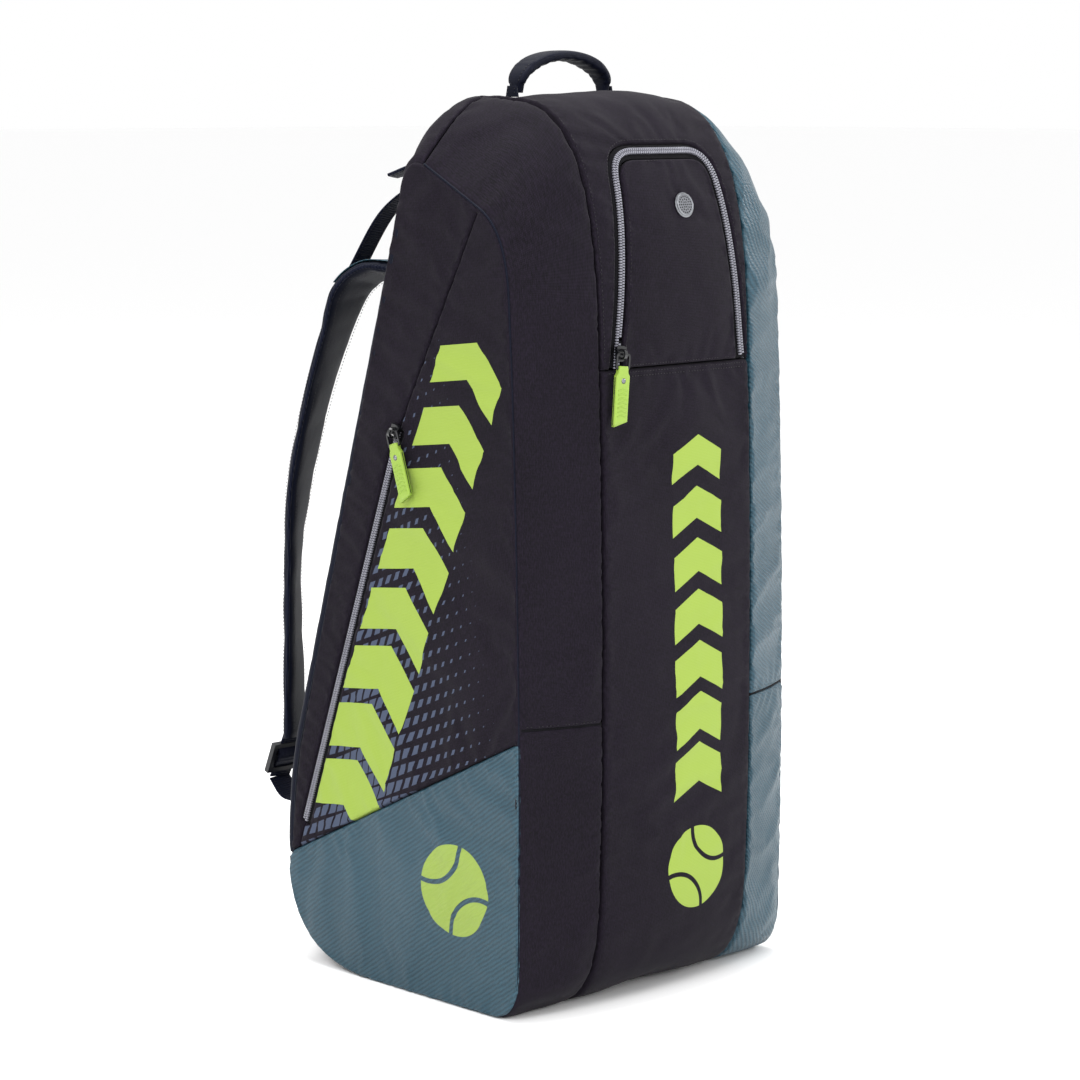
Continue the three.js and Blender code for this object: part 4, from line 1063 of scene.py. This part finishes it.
# ---- front pocket ---------------------------------------------------------------------------
def arch_line(grow, low=0.0):
    """The pocket zip's arch in (x, z), from the left foot over the top to the right foot."""
    bottom, top, height, corner = 77.5, 58.0, 179.0, 25.0
    edge = lambda side, h: (3.5 - 0.5 * h / height) + side * (grow + bottom + (top - bottom) * h / height)
    rim, r = height + grow, corner + grow
    bend = lambda a, c, b: [(1 - t) ** 2 * np.array(a) + 2 * t * (1 - t) * np.array(c) + t * t * np.array(b)
                            for t in np.linspace(0, 1, 10)]
    left = bend((edge(-1, rim - r), rim - r), (edge(-1, rim), rim), (edge(-1, rim) + r, rim))
    right = bend((edge(1, rim) - r, rim), (edge(1, rim), rim), (edge(1, rim - r), rim - r))
    line = np.array([(edge(-1, low), low), *left, *right, (edge(1, low), low)])
    return line + (0, SILL_Z)


def pattern_arch(grow, low=0.4):
    """The same arch in (x, length along the centre line)."""
    line = arch_line(grow, low)
    run = run_along(line)
    marks = np.arange(0, run[-1], 4)
    line = np.column_stack([np.interp(marks, run, line[:, k]) for k in (0, 1)])
    length = np.interp(station_at(line[:, 0], line[:, 1]), CENTRE[:, 0], CENTRE[:, 5])
    return np.column_stack([line[:, 0], length])


def zip_half(piece, spots, toward, out, tape, pitch, shift, lift=0.0):
    """Half a zip along points: woven tape and its row of coil teeth."""
    run = run_along(spots)
    corners = ((0.3, 1.6), (tape, 2.6), (tape, 3.4), (0.3, 3.0))
    rows = []
    for p, t, n in zip(spots, toward, out):
        rows.append([p + t * aside - n * deep for aside, deep in corners])
    k = len(rows)
    faces = [(4 * i + j, 4 * i + (j + 1) % 4, 4 * i + 4 + (j + 1) % 4, 4 * i + 4 + j) for i in range(k - 1)
             for j in range(4)]
    faces += [(0, 1, 2, 3), (4 * k - 1, 4 * k - 2, 4 * k - 3, 4 * k - 4)]
    tags = [(w, run[i], 3.0) for i in range(k) for w in (0, tape, tape, 0)]
    piece.add(np.vstack(rows), faces, 0, tags)
    for i in range(int(run[-1] / pitch)):
        at = (i + shift) * pitch
        p, t, n = [blend_at(run, values, at) for values in (spots, toward, out)]
        way = np.cross(t, n)
        centre = p + t * 1.35 + n * (lift - 0.2)
        shape = [(-1.35, 0.30, 0.1), (-1.1, 0.62, 0.8), (1.2, 0.80, 0.75), (1.45, 0.5, -0.2)]
        ring = []
        for u, w, h in shape:
            ring += [centre + t * u + way * w + n * (h - 0.9), centre + t * u + way * w + n * h,
                     centre + t * u - way * w + n * h, centre + t * u - way * w + n * (h - 0.9)]
        faces = [(4 * a + j, 4 * a + (j + 1) % 4, 4 * a + 4 + (j + 1) % 4, 4 * a + 4 + j) for a in range(3)
                 for j in range(4)] + [(3, 2, 1, 0), (12, 13, 14, 15)]
        piece.add(ring, faces, 1)


def front_frame(line):
    """Places, sideways directions and normals on the front face along (x, z) points."""
    spots = skin(station_at(line[:, 0], line[:, 1]), line[:, 0], 0)
    out = skin(station_at(line[:, 0], line[:, 1]), line[:, 0], -1) - spots
    return spots, np.cross(out, unit(np.gradient(spots, axis=0))), out


def resampled(line, step=2.5):
    """The same line with evenly spaced points."""
    run = run_along(line)
    marks = np.linspace(0, run[-1], max(2, int(run[-1] / step)))
    return blend_at(run, line, marks).T


class BagPocket(bpy.types.Operator):
    """Sews the front pocket: flap, zip, lining box and vent"""

    bl_idname = "bag.front_pocket"
    bl_label = "Front pocket"

    def execute(self, context):
        place = on_skin(CENTRE)
        outline = pattern_arch(-6.9, 0.9)
        x, z, radius = VENT
        turn = np.linspace(0, 2 * math.pi, 28, endpoint=False)
        rim = np.column_stack([x + radius * np.cos(turn), z + radius * np.sin(turn)])
        rim[:, 1] = np.interp(station_at(rim[:, 0], rim[:, 1]), CENTRE[:, 0], CENTRE[:, 5])
        sew("pocket_flap_cloth", [outline, rim], place, ("polyester", "taffeta", "thread"), "flap",
            "black_fabric", ["pocket_flap"], creased(11.0, 0.9, 0.8), roll=2.4, stitches=(2.0,), swell=1.6)
        self.zips()
        self.lining_box()
        self.vent()
        return {"FINISHED"}

    def zips(self):
        """The arch's two halves; below the slider both stay joined on the shell."""
        tape, closed_up_to = 6.4, SILL_Z + 25.5
        pitch = sizes().tooth_pitch / MM
        line = resampled(arch_line(0, 1.5))
        spots, toward, out = front_frame(line)
        if toward[:5, 0].sum() > 0:
            toward = -toward
        spots = spots - out * 0.6
        foot = (line[:, 0] < -60) & (line[:, 1] < closed_up_to)
        outer, inner = Piece(), Piece()
        zip_half(outer, spots, toward, out, tape, pitch, 0.0)
        zip_half(outer, spots[foot], -toward[foot], out[foot], tape, pitch, 0.5)
        zip_half(inner, spots[~foot], -toward[~foot], out[~foot], tape, pitch, 0.5)
        for piece, half, body in ((outer, "outer", "carcass"), (inner, "inner", "flap")):
            piece.make(f"pocket_zip_{half}_half", ("tape", "coil"), body, "zip_tape",
                       [f"pocket_zip_{half}"], smooth=False)

    def lining_box(self):
        """The open-fronted box of lining cloth behind the flap, with a little slack in its walls."""
        half, low, high, back = 85.0, 537.0, 730.0, -112.0
        box = Piece()
        rows = []
        levels = np.linspace(low, high, 26)
        for z in levels:
            front = skin(station_at(np.full(1, -half), np.full(1, max(z, 546.0))), -half, 8.5)[0, 1]
            ring = [(-half, front), *[(-half, y) for y in np.linspace(front, back, 8)[1:]],
                    *[(x, back) for x in np.linspace(-half, half, 20)[1:]],
                    *[(half, y) for y in np.linspace(back, front, 8)[1:]]]
            rows.append([(x, y, z) for x, y in ring])
        rows = np.array(rows)
        n = rows.shape[1]
        round_it, up_it = (rows[..., 0] + rows[..., 1]).ravel(), rows[..., 2].ravel()
        wave = ripple(round_it, up_it, 26, 4.4).reshape(rows.shape[:2])
        shift = unit(np.array([0, -150, 640.0]) - rows)
        rows += shift * (0.6 + 0.9 * wave[..., None])
        inner = rows + shift * 1.6
        at = lambda i, j: i * n + j
        for grid, order in ((rows, 1), (inner, -1)):
            faces = [(at(i, j), at(i, j + 1), at(i + 1, j + 1), at(i + 1, j))[::order]
                     for i in range(len(levels) - 1) for j in range(n - 1)]
            box.add(grid.reshape(-1, 3), faces)
        for level in (rows[0], rows[-1]):
            box.add(level, [tuple(range(n))])
        box.make("pocket_lining", ("taffeta",), "carcass", "lining", ["pocket_liner"])

    def vent(self):
        """The vent's perforated mesh, with near-black discs as painted shade in its punched holes, and the
        rolled rim round it.
        """
        x, z, _ = VENT
        mesh_radius, hole_radius, rim_radius = 8.2, 0.74, 9.0
        station = station_at(np.array([x]), np.array([z]))
        spot = skin(station, x, 0)[0]
        out = skin(station, x, -1)[0] - spot
        right = unit(np.array([1.0, 0, 0]) - out * out[0])
        up = np.cross(right, out) * -1
        mesh = Piece()
        rows = ((0.0, 1), (2.3, 6), (4.6, 12), (6.9, 18))
        # Each punched hole is a near-black disc set just proud of the plate: painted shade, not an opening.
        for radius, count in rows:
            for centre in circle(spot + out * 2.5, right, up, radius, count):
                self.disc(mesh, centre, right, up, out, hole_radius, 0.9, 10, 0)
        self.disc(mesh, spot + out * 2.42, right, up, out, mesh_radius, 0.4, 32, 1)
        mesh.make("vent_mesh_and_painted_holes", ("hole_shade_and_tab_edge", "vent_grille"), "flap", "eyelet", smooth=False)
        rim = Piece()
        tube(rim, circle(spot + out * 2.2, right, up, rim_radius, 40), 0.8, 8, closed=True)
        rim.make("vent_rolled_rim", ("brushed",), "flap", "eyelet")

    def disc(self, piece, centre, right, up, out, radius, thick, count, finish):
        """A flat round plate whose face is at centre."""
        face = circle(centre, right, up, radius, count)
        sides = [(j, j + count, (j + 1) % count + count, (j + 1) % count) for j in range(count)]
        piece.add([*face, *[p - out * thick for p in face]],
                  [tuple(range(count)), tuple(range(2 * count - 1, count - 1, -1)), *sides], finish)


class BagZips(bpy.types.Operator):
    """Makes the side pocket zips and the tapes of the main zips"""

    bl_idname = "bag.zips"
    bl_label = "Side and main zips"

    def execute(self, context):
        pitch = sizes().tooth_pitch / MM
        for side, name in SIDES:
            marks = np.linspace(0.5, ZIP_LENGTH - 0.5, 120)
            flat = np.array([beside_zip(m, 0) for m in marks])
            spots = np.column_stack([np.full(len(flat), side * (HALF_WIDTH - 0.6)), flat])
            out = np.tile([side, 0.0, 0.0], (len(flat), 1))
            aside = np.tile([0.0, -ZIP_DOWN[1], ZIP_DOWN[0]], (len(flat), 1))
            chain = Piece()
            zip_half(chain, spots, aside, out, 7.0, pitch, 0.0)
            zip_half(chain, spots, -aside, out, 7.0, pitch, 0.5)
            chain.make(f"side_zip_chain_{name}", ("tape", "coil"), f"{name}_cover", "zip_tape",
                       [f"side_zip_{name}"], smooth=False)
            for sign, part, body in ((1, "cover", f"{name}_cover"), (-1, "centre", "carcass")):
                stations = np.linspace(HEEL + 0.34, NAPE - 0.01, 300)
                line = skin(stations, side * SEAM_X, 6.4)
                out = skin(stations, side * SEAM_X, 5.4) - line
                toward = np.tile([side * sign * 1.0, 0, 0], (300, 1))
                tape = Piece()
                zip_half(tape, line, toward, out, 6.0, 4.2, 0.25 if sign > 0 else 0.75, lift=-0.8)
                tape.make(f"main_zip_tape_{part}_{name}", ("tape", "coil"), body, "zip_tape",
                          [f"main_zip_{part}_{name}"], smooth=False)
        return {"FINISHED"}


# ---- zip pulls ------------------------------------------------------------------------------
def pull_frames():
    """Each pull's slider spot and its right, up and outward directions, with the hanging tab's turn."""
    frames = {}
    for side, name in SIDES:
        top = beside_zip(2, 0)
        up = np.array([0, -ZIP_DOWN[0], -ZIP_DOWN[1]])
        frames[f"side_zip_{name}"] = (np.array([side * HALF_WIDTH, *top]), up, np.array([side, 0.0, 0.0]),
                                      -side * math.radians(38), f"{name}_side_tab")
    foot, head = np.array([-73.1, SILL_Z + 13]), np.array([-69.1, SILL_Z + 52])
    a, b = [skin(station_at(p[:1], p[1:]), p[0], -0.9)[0] for p in (foot, head)]
    frames["pocket_zip"] = (a, b - a, np.array([-0.12, -1.0, 0]), 0.02, "pocket_tab")
    return frames


class BagPulls(bpy.types.Operator):
    """Finishes the sliders, rings and moulded tabs, and adds rivets and grip ribs"""

    bl_idname = "bag.zip_pulls"
    bl_label = "Zip pulls"

    def execute(self, context):
        for name, (spot, up, out, swing, body) in pull_frames().items():
            y = unit(up)
            z = unit(out - y * out.dot(y))
            x = np.cross(y, z)
            c, s = math.cos(swing), math.sin(swing)
            at = lambda u, v, w: spot + (x * c + y * s) * u + (y * c - x * s) * v + z * w
            self.tab(name, at, body)
            dress(f"{name}_slider", "enamel", 0.35)
            dress(f"{name}_pull_ring", "enamel", 0.35)
        for _, name in SIDES:
            dress(f"main_zip_{name}_slider", "enamel", 0.35)
        return {"FINISHED"}

    def tab(self, name, at, body):
        """Two leaves folded round the ring, pressed together at the cut end, with their rivet."""
        tab = Piece()
        # Distance down the tab and half its width there; the last one is cut on a slant.
        stops = [(-9.7, 4.3), (-12, 4.9), (-15, 5.0), (-18, 6.9), (-30, 7.0), (-42, 7.0), (-54, 7.0),
                 (-57.6, 7.0)]
        rings = []
        for v, half in stops:
            slant = 2.4 if v == stops[-1][0] else 0
            thick = 2.6 if v > -20 else 2.2
            ring = []
            for t in np.linspace(0, math.tau, 20, endpoint=False):
                u = np.sign(math.cos(t)) * abs(math.cos(t)) ** 0.3 * half
                w = np.sign(math.sin(t)) * abs(math.sin(t)) ** 0.3 * thick
                ring.append(at(u, v + slant * u / half, BAIL_Z + w))
            rings.append(ring)
        loft(tab, rings)
        grip = np.linspace(-4.6, 4.6, 7)
        for v in np.arange(-30, -52, -3.6):
            for w in (2.25, -2.25):
                tube(tab, [at(u, v + 1.6 * (1 - abs(u) / 4.6), BAIL_Z + w) for u in grip], 0.45, 6)
        for side, end in ((1, -54.8), (-1, -58.6)):
            tube(tab, [at(side * 7.1, v, BAIL_Z) for v in (-19, end)], 0.35, 6, 1)
        tab.make(f"{name}_tab_rubber", ("rubber", "hole_shade_and_tab_edge"), body, "pull_rubber", [f"{name}_pull_tab"])
        self.rivet(name, at, body)

    def rivet(self, name, at, body):
        """A flanged rivet through the tab, with the same domed head on both faces."""
        rivet, sides, spot = Piece(), 18, -21.5
        for w in (1, -1):
            for radius, low, layer in ((3.1, 2.35, 0), (2.0, 2.75, 1)):
                turn = np.linspace(0, math.tau, sides, endpoint=False)
                level = lambda lift: [at(radius * math.cos(t), spot + radius * math.sin(t),
                                         BAIL_Z + w * (low + lift)) for t in turn]
                crown = at(0, spot, BAIL_Z + w * (low + 0.35))
                head = [(j, (j + 1) % sides, 2 * sides)[::w] for j in range(sides)]
                wall = [(j + sides, (j + 1) % sides + sides, (j + 1) % sides, j)[::w] for j in range(sides)]
                rivet.add([*level(0), *level(-0.9), crown],
                          [*head, *wall, tuple(range(sides, 2 * sides))[::-w]], layer)
        rivet.make(f"{name}_tab_rivet", ("enamel", "brushed"), body, "zip_metal")


def dress(node_name, key, bevel=0.0):
    """Gives a part of the frame its material, and breaks its sharp edges."""
    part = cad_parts[node_name]
    for index in range(max(1, len(part.material_slots))):
        if part.material_slots:
            part.material_slots[index].link = "OBJECT"
            part.material_slots[index].material = finish(key)
        else:
            part.data.materials.append(finish(key))
    if bevel:
        soft = part.modifiers.new("worn edges", "BEVEL")
        soft.width, soft.segments = bevel * MM, 2
        soft.limit_method, soft.angle_limit = "ANGLE", math.radians(35)


# ---- handle and harness ---------------------------------------------------------------------
class BagHandle(bpy.types.Operator):
    """Rolls the padded top handle and sews its two tabs"""

    bl_idname = "bag.handle"
    bl_label = "Top handle"

    def execute(self, context):
        half, rise, thick, root, y0, z0 = 52.0, 23.5, 8.6, 14.0, -38.0, 779.0
        angles = np.concatenate([np.zeros(7), np.linspace(0, math.pi, 76), np.full(7, math.pi)])
        legs = np.concatenate([np.linspace(7.5, 1.2, 7), np.zeros(76), np.linspace(1.2, 7.5, 7)])
        spots = np.column_stack([-np.cos(angles) * half, np.full(90, y0), z0 + np.sin(angles) * rise - legs])
        way = unit(np.gradient(spots, axis=0))
        across = np.tile([0.0, 1.0, 0.0], (90, 1))
        out = np.cross(way, across)
        out *= np.sign(out[45, 2])
        width = root + (26 - root) * np.sqrt(np.clip(np.sin(angles), 0, 1)) - legs * 0.6
        folds = lambda k, turn: (0.16 * np.clip(-np.sin(turn), 0, 1) * math.sin(angles[k]) ** 0.5
                                 * np.sin(k * 1.05 + np.cos(turn) * 1.3))
        piece = Piece()
        strap_body(piece, spots, across, out, width, thick, 0.6, 28, 0, folds)
        for sign in (-1, 1):
            edge = spots + across * (sign * width[:, None] * 0.34) + out * 4.1
            seam_stitches(piece, edge[8:-8], out[8:-8], 1)
        roll = piece.make("handle_roll", ("strap_cloth", "thread"), "handle", "webbing", ["top_handle"], 0.7)
        settle(roll, lambda p: np.abs(p[:, 0]) > 46, 2.0, 1.6)
        for side, name in SIDES:
            x = side * 57.5
            foot = skin(CROWN + 1, x, 0)[0, 2] - 1
            tab = Piece()
            rows = np.linspace(foot, z0 - 1.5, 12)
            path = np.column_stack([np.full(12, x), np.full(12, y0), rows])
            outward = np.tile([float(side), 0, 0], (12, 1))
            strap_body(tab, path, np.tile([0.0, 1, 0], (12, 1)), outward, np.linspace(15.0, 11.0, 12),
                       3.0, 0.25, 16)
            for row in (-4.0, 4.0):
                line = path + np.array([side * 1.5, row, 0])
                seam_stitches(tab, line[2:-1], outward[2:-1], 1)
            tab.make(f"handle_tab_webbing_{name}", ("strap_cloth", "thread"), "carcass", "webbing",
                     [f"handle_tab_{name}"])
        return {"FINISHED"}


def strap_point(side, y, z, aside, width, twist=0.0):
    """A point of a strap's path; twist turns the strap's face away from the back, in degrees."""
    a = math.radians(twist)
    across = (math.cos(a), side * -math.sin(a), 0)
    return {"at": (side * (STRAP_X + aside), y, z), "across": across, "width": width}


class BagHarness(bpy.types.Operator):
    """Makes the shoulder pads, their webbing, the ladder locks and the anchor patches"""

    bl_idname = "bag.harness"
    bl_label = "Shoulder harness"

    def execute(self, context):
        for side, name in SIDES:
            body = f"{name}_strap"
            self.pad(side, name, body)
            # Each path point is y, z, distance aside of the strap's line and width; then the thickness.
            webs = {
                f"lifter_web_{name}": ([(back_y(694) + 8, 694, -34, 16), (38, 695, -22, 20),
                                        (74, 672, -8, 20), (110, 614, 5, 20)], 2.0),
                f"lifter_tail_{name}": ([(back_y(710) + 12, 710, -34, 16), (36, 712, -20, 20),
                                         (70, 700, -6, 20)], 3.0),
                f"lower_web_{name}": ([(213, 147, 12, 24), (196, 131, 10, 24), (154.5, 132, 0, 16)], 2.0),
            }
            joins = {
                f"pad_end_{name}": ([(190.5, 197, 10, 24), (195, 186, 10.5, 24), (200.5, 173, 11, 24)],
                                    3.0),
                f"lock_foot_{name}": ([(204.5, 163, 11, 24), (209, 154, 11.5, 24), (212, 148, 12, 24)],
                                      2.4),
            }
            for node_name, (path, thick) in {**webs, **joins}.items():
                spots, across, out, width = band([strap_point(side, *p) for p in path], 40)
                web = Piece()
                strap_body(web, spots, across, out, width, thick, 0.2, 16)
                for edge in (-0.38, 0.38):
                    line = spots + across * (width[:, None] * edge) + out * thick / 2
                    seam_stitches(web, line, out, 1)
                web.make(f"{node_name}_webbing", ("webbing", "thread"), body, "webbing",
                         [node_name] if node_name in webs else [])
            dress(f"ladder_lock_{name}", "acetal", 0.9)
            self.lock_details(side, name, body)
            self.sewn_root(side, name)
            self.anchors(side, name)
        return {"FINISHED"}

    def pad(self, side, name, body):
        """The padded strap with its bound edges, its stitches and the patch on its face."""
        path = [(back_y(610) + 15, 612, -26, 18), (56, 620, -14, 46), (82, 619, -2, 60),
                (105, 603, 8, 64, 14), (124, 568, 10, 66, 26), (155, 501, 10, 66, 31),
                (180, 425, 10, 64, 33), (192, 350, 10, 58, 43), (192, 280, 10, 54, 38),
                (191, 190, 10, 46, 28)]
        spots, across, out, width = band([strap_point(side, *p) for p in path], 130)
        quilts = lambda k, turn: 0.16 * np.abs(np.sin(k * 0.33)) * np.abs(np.sin(turn))
        creases = lambda k, turn: 0.10 * np.sin(k * 0.9 + 2 * np.cos(turn)) * np.exp(-(np.sin(turn) ** 2) * 3)
        wave = lambda k, turn: -0.10 + quilts(k, turn) + creases(k, turn)
        pad = Piece()
        strap_body(pad, spots, across, out, width - 3.0, 10.0, 0.4, 26, 0, wave)
        made = pad.make(f"shoulder_pad_foam_{name}", ("strap_cloth",), body, "strap_fabric",
                        [f"shoulder_pad_{name}"], 0.6)
        settle(made, lambda p: (p[:, 2] > 600) & (p[:, 1] < 60), 1.5, 1.4)
        trim = Piece()
        for edge in (-1, 1):
            tube(trim, spots + across * (edge * (width[:, None] / 2 - 1.9)), 1.9, 8)
        for edge in (-1, 1):
            line = spots + across * (edge * (width[:, None] / 2 - 7)) + out * 5.2
            seam_stitches(trim, line, out, 1)
            seam_stitches(trim, line - out * 10.4, -out, 1)
        trim.make(f"shoulder_pad_binding_{name}", ("webbing", "thread"), body, "strap_fabric")
        patch = Piece()
        top = slice(6, 44)
        sign = 1 if out[20, 2] > 0 else -1
        strap_body(patch, spots[top] + sign * out[top] * 6.3, across[top], out[top], width[top] - 8,
                   1.2, 0.2, 14)
        patch.make(f"shoulder_pad_patch_{name}", ("ripstop",), body, "teal_fabric")

    def sewn_root(self, side, name):
        """Folded webbing that carries both upper webs out of the top of the anchor patch."""
        path = [(back_y(672) + 3.0, 672, -30, 22), (back_y(688) + 4.5, 688, -32, 22),
                (back_y(703) + 7.5, 703, -33, 20), (back_y(710) + 11.5, 711, -34, 18)]
        spots, across, out, width = band([strap_point(side, *p) for p in path], 24)
        root = Piece()
        strap_body(root, spots, across, out, width, 3.0, 0.25, 16)
        root.make(f"strap_root_{name}", ("webbing",), "carcass", "webbing")

    def lock_details(self, side, name, body):
        """Ribbed grip along the lock's lower bar, with the webbing's free end folded over it."""
        centre = np.array([side * (STRAP_X + 11), 203.0, 168.0])
        up, out = unit(np.array([0, -0.42, 1.0])), unit(np.array([0, 1.0, 0.42]))
        grip = Piece()
        for k in range(5):
            spot = centre - up * (11.5 + 0.9 * k) + out * (2.6 - 0.25 * k)
            tube(grip, [spot + np.array([u, 0, 0]) for u in np.linspace(-17, 17, 5)], 0.7, 8)
        grip.make(f"ladder_lock_grip_{name}", ("acetal",), body, "buckle")
        loop, n = Piece(), 36
        turn = np.linspace(0, math.tau, n, endpoint=False)
        middle, wide = centre + up * 1.5, np.array([14.0, 0, 0])
        ring = [middle + up * (8.5 * math.cos(t)) + out * 4.4 * math.sin(t) for t in turn]
        rows = [(2 * i, 2 * i + 1, (2 * i + 3) % (2 * n), (2 * i + 2) % (2 * n)) for i in range(n)]
        for grow, order in ((0, 1), (1.6, -1)):
            wall = [p + unit(p - middle) * grow for p in ring]
            loop.add([q + end for q in wall for end in (-wide, wide)], [row[::order] for row in rows])
        loop.make(f"ladder_lock_webbing_{name}", ("webbing",), body, "webbing")

    def anchors(self, side, name):
        """Anchor patches sewn on with a crossed box of stitches."""
        width = 40.0
        # Centre of the patch, the way up along it, the way out of it, and its height.
        spots = {
            f"strap_anchor_upper_{name}": ((side * (STRAP_X - 26), back_y(640) + 1.6, 640.0),
                                           (0, BACK_SLOPE - 0.035, 1.0), (0, 1.0, -BACK_SLOPE), 86),
            f"strap_anchor_lower_{name}": ((side * STRAP_X, 144.5, 132.0),
                                           (0, -0.05, 1.0), (0, 1.0, 0.0), 24),
        }
        for node_name, (centre, up, out, height) in spots.items():
            centre, up, out = np.array(centre), unit(np.array(up)), np.array(out)
            out = unit(out - up * out.dot(up))
            patch = Piece()
            rows = np.linspace(-height / 2, height / 2, 24)
            path = centre + np.outer(rows, up) + out * 1.2
            right = np.cross(up, out)
            strap_body(patch, path, np.tile(right, (24, 1)), np.tile(out, (24, 1)), np.full(24, width),
                       2.4, 0.2, 18)
            w, h = width / 2 - 4, height / 2 - 4
            corners = [(-w, -h), (w, -h), (w, h), (-w, h), (-w, -h), (w, h), (w, -h), (-w, h)]
            line = resampled(np.array([centre + right * u + up * v + out * 2.4 for u, v in corners]), 2)
            seam_stitches(patch, line, np.tile(out, (len(line), 1)), 1)
            patch.make(f"{node_name}_patch", ("webbing", "thread"), "carcass", "webbing", [node_name])


class BagInside(bpy.types.Operator):
    """Makes the divider, the side pocket bags and dresses the base boards"""

    bl_idname = "bag.inside"
    bl_label = "Lining"

    def execute(self, context):
        outline = np.array([(128, 100), (68, 14), (-112, 14), (-168, 120), (-170, 530), (-108, 530),
                            (-108, 735), (-60, 755), (-42, 750), (-26, 700), (114, 224)], float)
        place = lambda a, b, depth: np.column_stack([1.4 - depth, a, b])
        sew("divider_sheet", [outline], place, ("taffeta", "taffeta", "thread"), "carcass", "lining",
            ["centre_divider"], creased(12.0, 0.35, 0.3), roll=1.0, wall=2.8, step=9, fill=0.2,
            stitches=(4,), swell=0)
        for side, name in SIDES:
            shape = np.array([(-22, 500), (-133, 467), (-136, 272), (64, 182), (85, 221)], float)
            depth_at = 159.6 - 13.6
            flat, faces, d, _, _ = pattern([shape], 8)
            sewn_edge = 13.0 * (1 - np.clip(d / 7, 0, 1)) ** 2
            puffed = depth_at + sewn_edge + 1.2 * ripple(flat[:, 0], flat[:, 1], 40, 2.2)
            piece = Piece()
            outer = np.column_stack([side * puffed, flat])
            inner = np.column_stack([side * (puffed + 0.9), flat])
            n = len(flat)
            rim = [(i, j, j + n, i + n) for i, j in open_edges(faces)]
            tag = np.column_stack([flat, d])
            turned = [[k + n for k in f[::-1]] for f in faces.tolist()]
            piece.add(np.vstack([outer, inner]), [*faces.tolist(), *turned, *rim], 0, np.vstack([tag, tag]))
            piece.make(f"side_pocket_bag_{name}", ("taffeta",), f"{name}_cover", "lining",
                       [f"side_pocket_liner_{name}"])
            dress(f"base_board_{name}", "hardboard", 0.4)
        dress("vent_eyelet", "brushed", 0.25)
        return {"FINISHED"}


# ---- stage ----------------------------------------------------------------------------------
class BagStage(bpy.types.Operator):
    """Sets the pale floor, the soft lights and the camera"""

    bl_idname = "bag.stage"
    bl_label = "Stage"

    def execute(self, context):
        scene = context.scene
        material, tree, shader = blank("pale studio paper, matt")
        spot = node(tree, COORDINATES).outputs["Object"]
        grain = node(tree, NOISE, {"Vector": spot, "Scale": 300.0}).outputs["Fac"]
        tints = {0: grain, 6: paint("fafafa"), 7: paint("ffffff")}
        shade = node(tree, MIX, tints, data_type="RGBA").outputs[2]
        tree.links.new(shade, shader.inputs["Base Color"])
        shader.inputs["Roughness"].default_value = 0.9
        mesh = bpy.data.meshes.new("floor")
        mesh.from_pydata([(-60, -60, 0), (60, -60, 0), (60, 60, 0), (-60, 60, 0)], [], [(0, 1, 2, 3)])
        mesh.materials.append(material)
        floor = bpy.data.objects.new("floor", mesh)
        scene.collection.objects.link(floor)
        floor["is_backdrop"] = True
        world = bpy.data.worlds.new("soft room")
        world.use_nodes = True
        background = world.node_tree.nodes["Background"]
        background.inputs[0].default_value = (1, 1, 1, 1)
        background.inputs[1].default_value = 1.0
        scene.world = world
        scene.view_settings.view_transform = "Standard"
        # Place and size in metres, and power in watts.
        lamps = (("key", (-2.6, -1.2, 2.6), 1.4, 58), ("front", (0.6, -3.2, 1.7), 1.2, 34),
                 ("right", (2.8, -0.8, 1.6), 1.0, 24), ("top", (0.0, 0.4, 3.2), 1.6, 64))
        for name, spot, size, power in lamps:
            light = bpy.data.lights.new(name, "AREA")
            light.size, light.energy = size, power
            lamp = bpy.data.objects.new(name, light)
            lamp.location = spot
            lamp.rotation_euler = (Vector((0, 0, 0.4)) - Vector(spot)).to_track_quat("-Z", "Y").to_euler()
            scene.collection.objects.link(lamp)
        data = bpy.data.cameras.new("camera")
        data.lens, data.sensor_width, data.sensor_fit = 103.1, 36.0, "HORIZONTAL"
        data.shift_x, data.shift_y = 0.0096, -0.0028
        camera = bpy.data.objects.new("camera", data)
        camera.location = (-1.9008, -1.9561, 0.7679)
        camera.rotation_euler = (Vector((0, 0, 0.38)) - camera.location).to_track_quat("-Z", "Y").to_euler()
        scene.collection.objects.link(camera)
        scene.camera = camera
        return {"FINISHED"}


OPERATORS = (BagStage, BagSidePanels, BagGussets, BagCentrePanels, BagPocket, BagZips, BagPulls,
             BagHandle, BagHarness, BagInside)


class BagPanel(bpy.types.Panel):
    """The bag's parts, sizes and colours"""

    bl_idname = "VIEW3D_PT_racket_bag"
    bl_label = "Racket bag"
    bl_space_type = "VIEW_3D"
    bl_region_type = "UI"
    bl_category = "Bag"

    def draw(self, context):
        for group in (context.scene.bag_sizes, context.scene.bag_colours):
            for key in group.bl_rna.properties.keys():
                if key not in ("rna_type", "name"):
                    self.layout.prop(group, key)
        for operator in OPERATORS:
            self.layout.operator(operator.bl_idname)


CLASSES = (BagSizes, BagColours, *OPERATORS, BagPanel)


def register():
    for item in CLASSES:
        bpy.utils.register_class(item)
    bpy.types.Scene.bag_sizes = bpy.props.PointerProperty(type=BagSizes)
    bpy.types.Scene.bag_colours = bpy.props.PointerProperty(type=BagColours)


def unregister():
    del bpy.types.Scene.bag_colours
    del bpy.types.Scene.bag_sizes
    for item in reversed(CLASSES):
        bpy.utils.unregister_class(item)


def main():
    register()
    for operator in OPERATORS:
        group, call = operator.bl_idname.split(".")
        getattr(getattr(bpy.ops, group), call)()
    plain = lambda box: [[float(v) for v in corner] for corner in box]
    {"cad": plain(CAD_BOX), "visual": plain(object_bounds())}


if __name__ == "__main__":
    main()
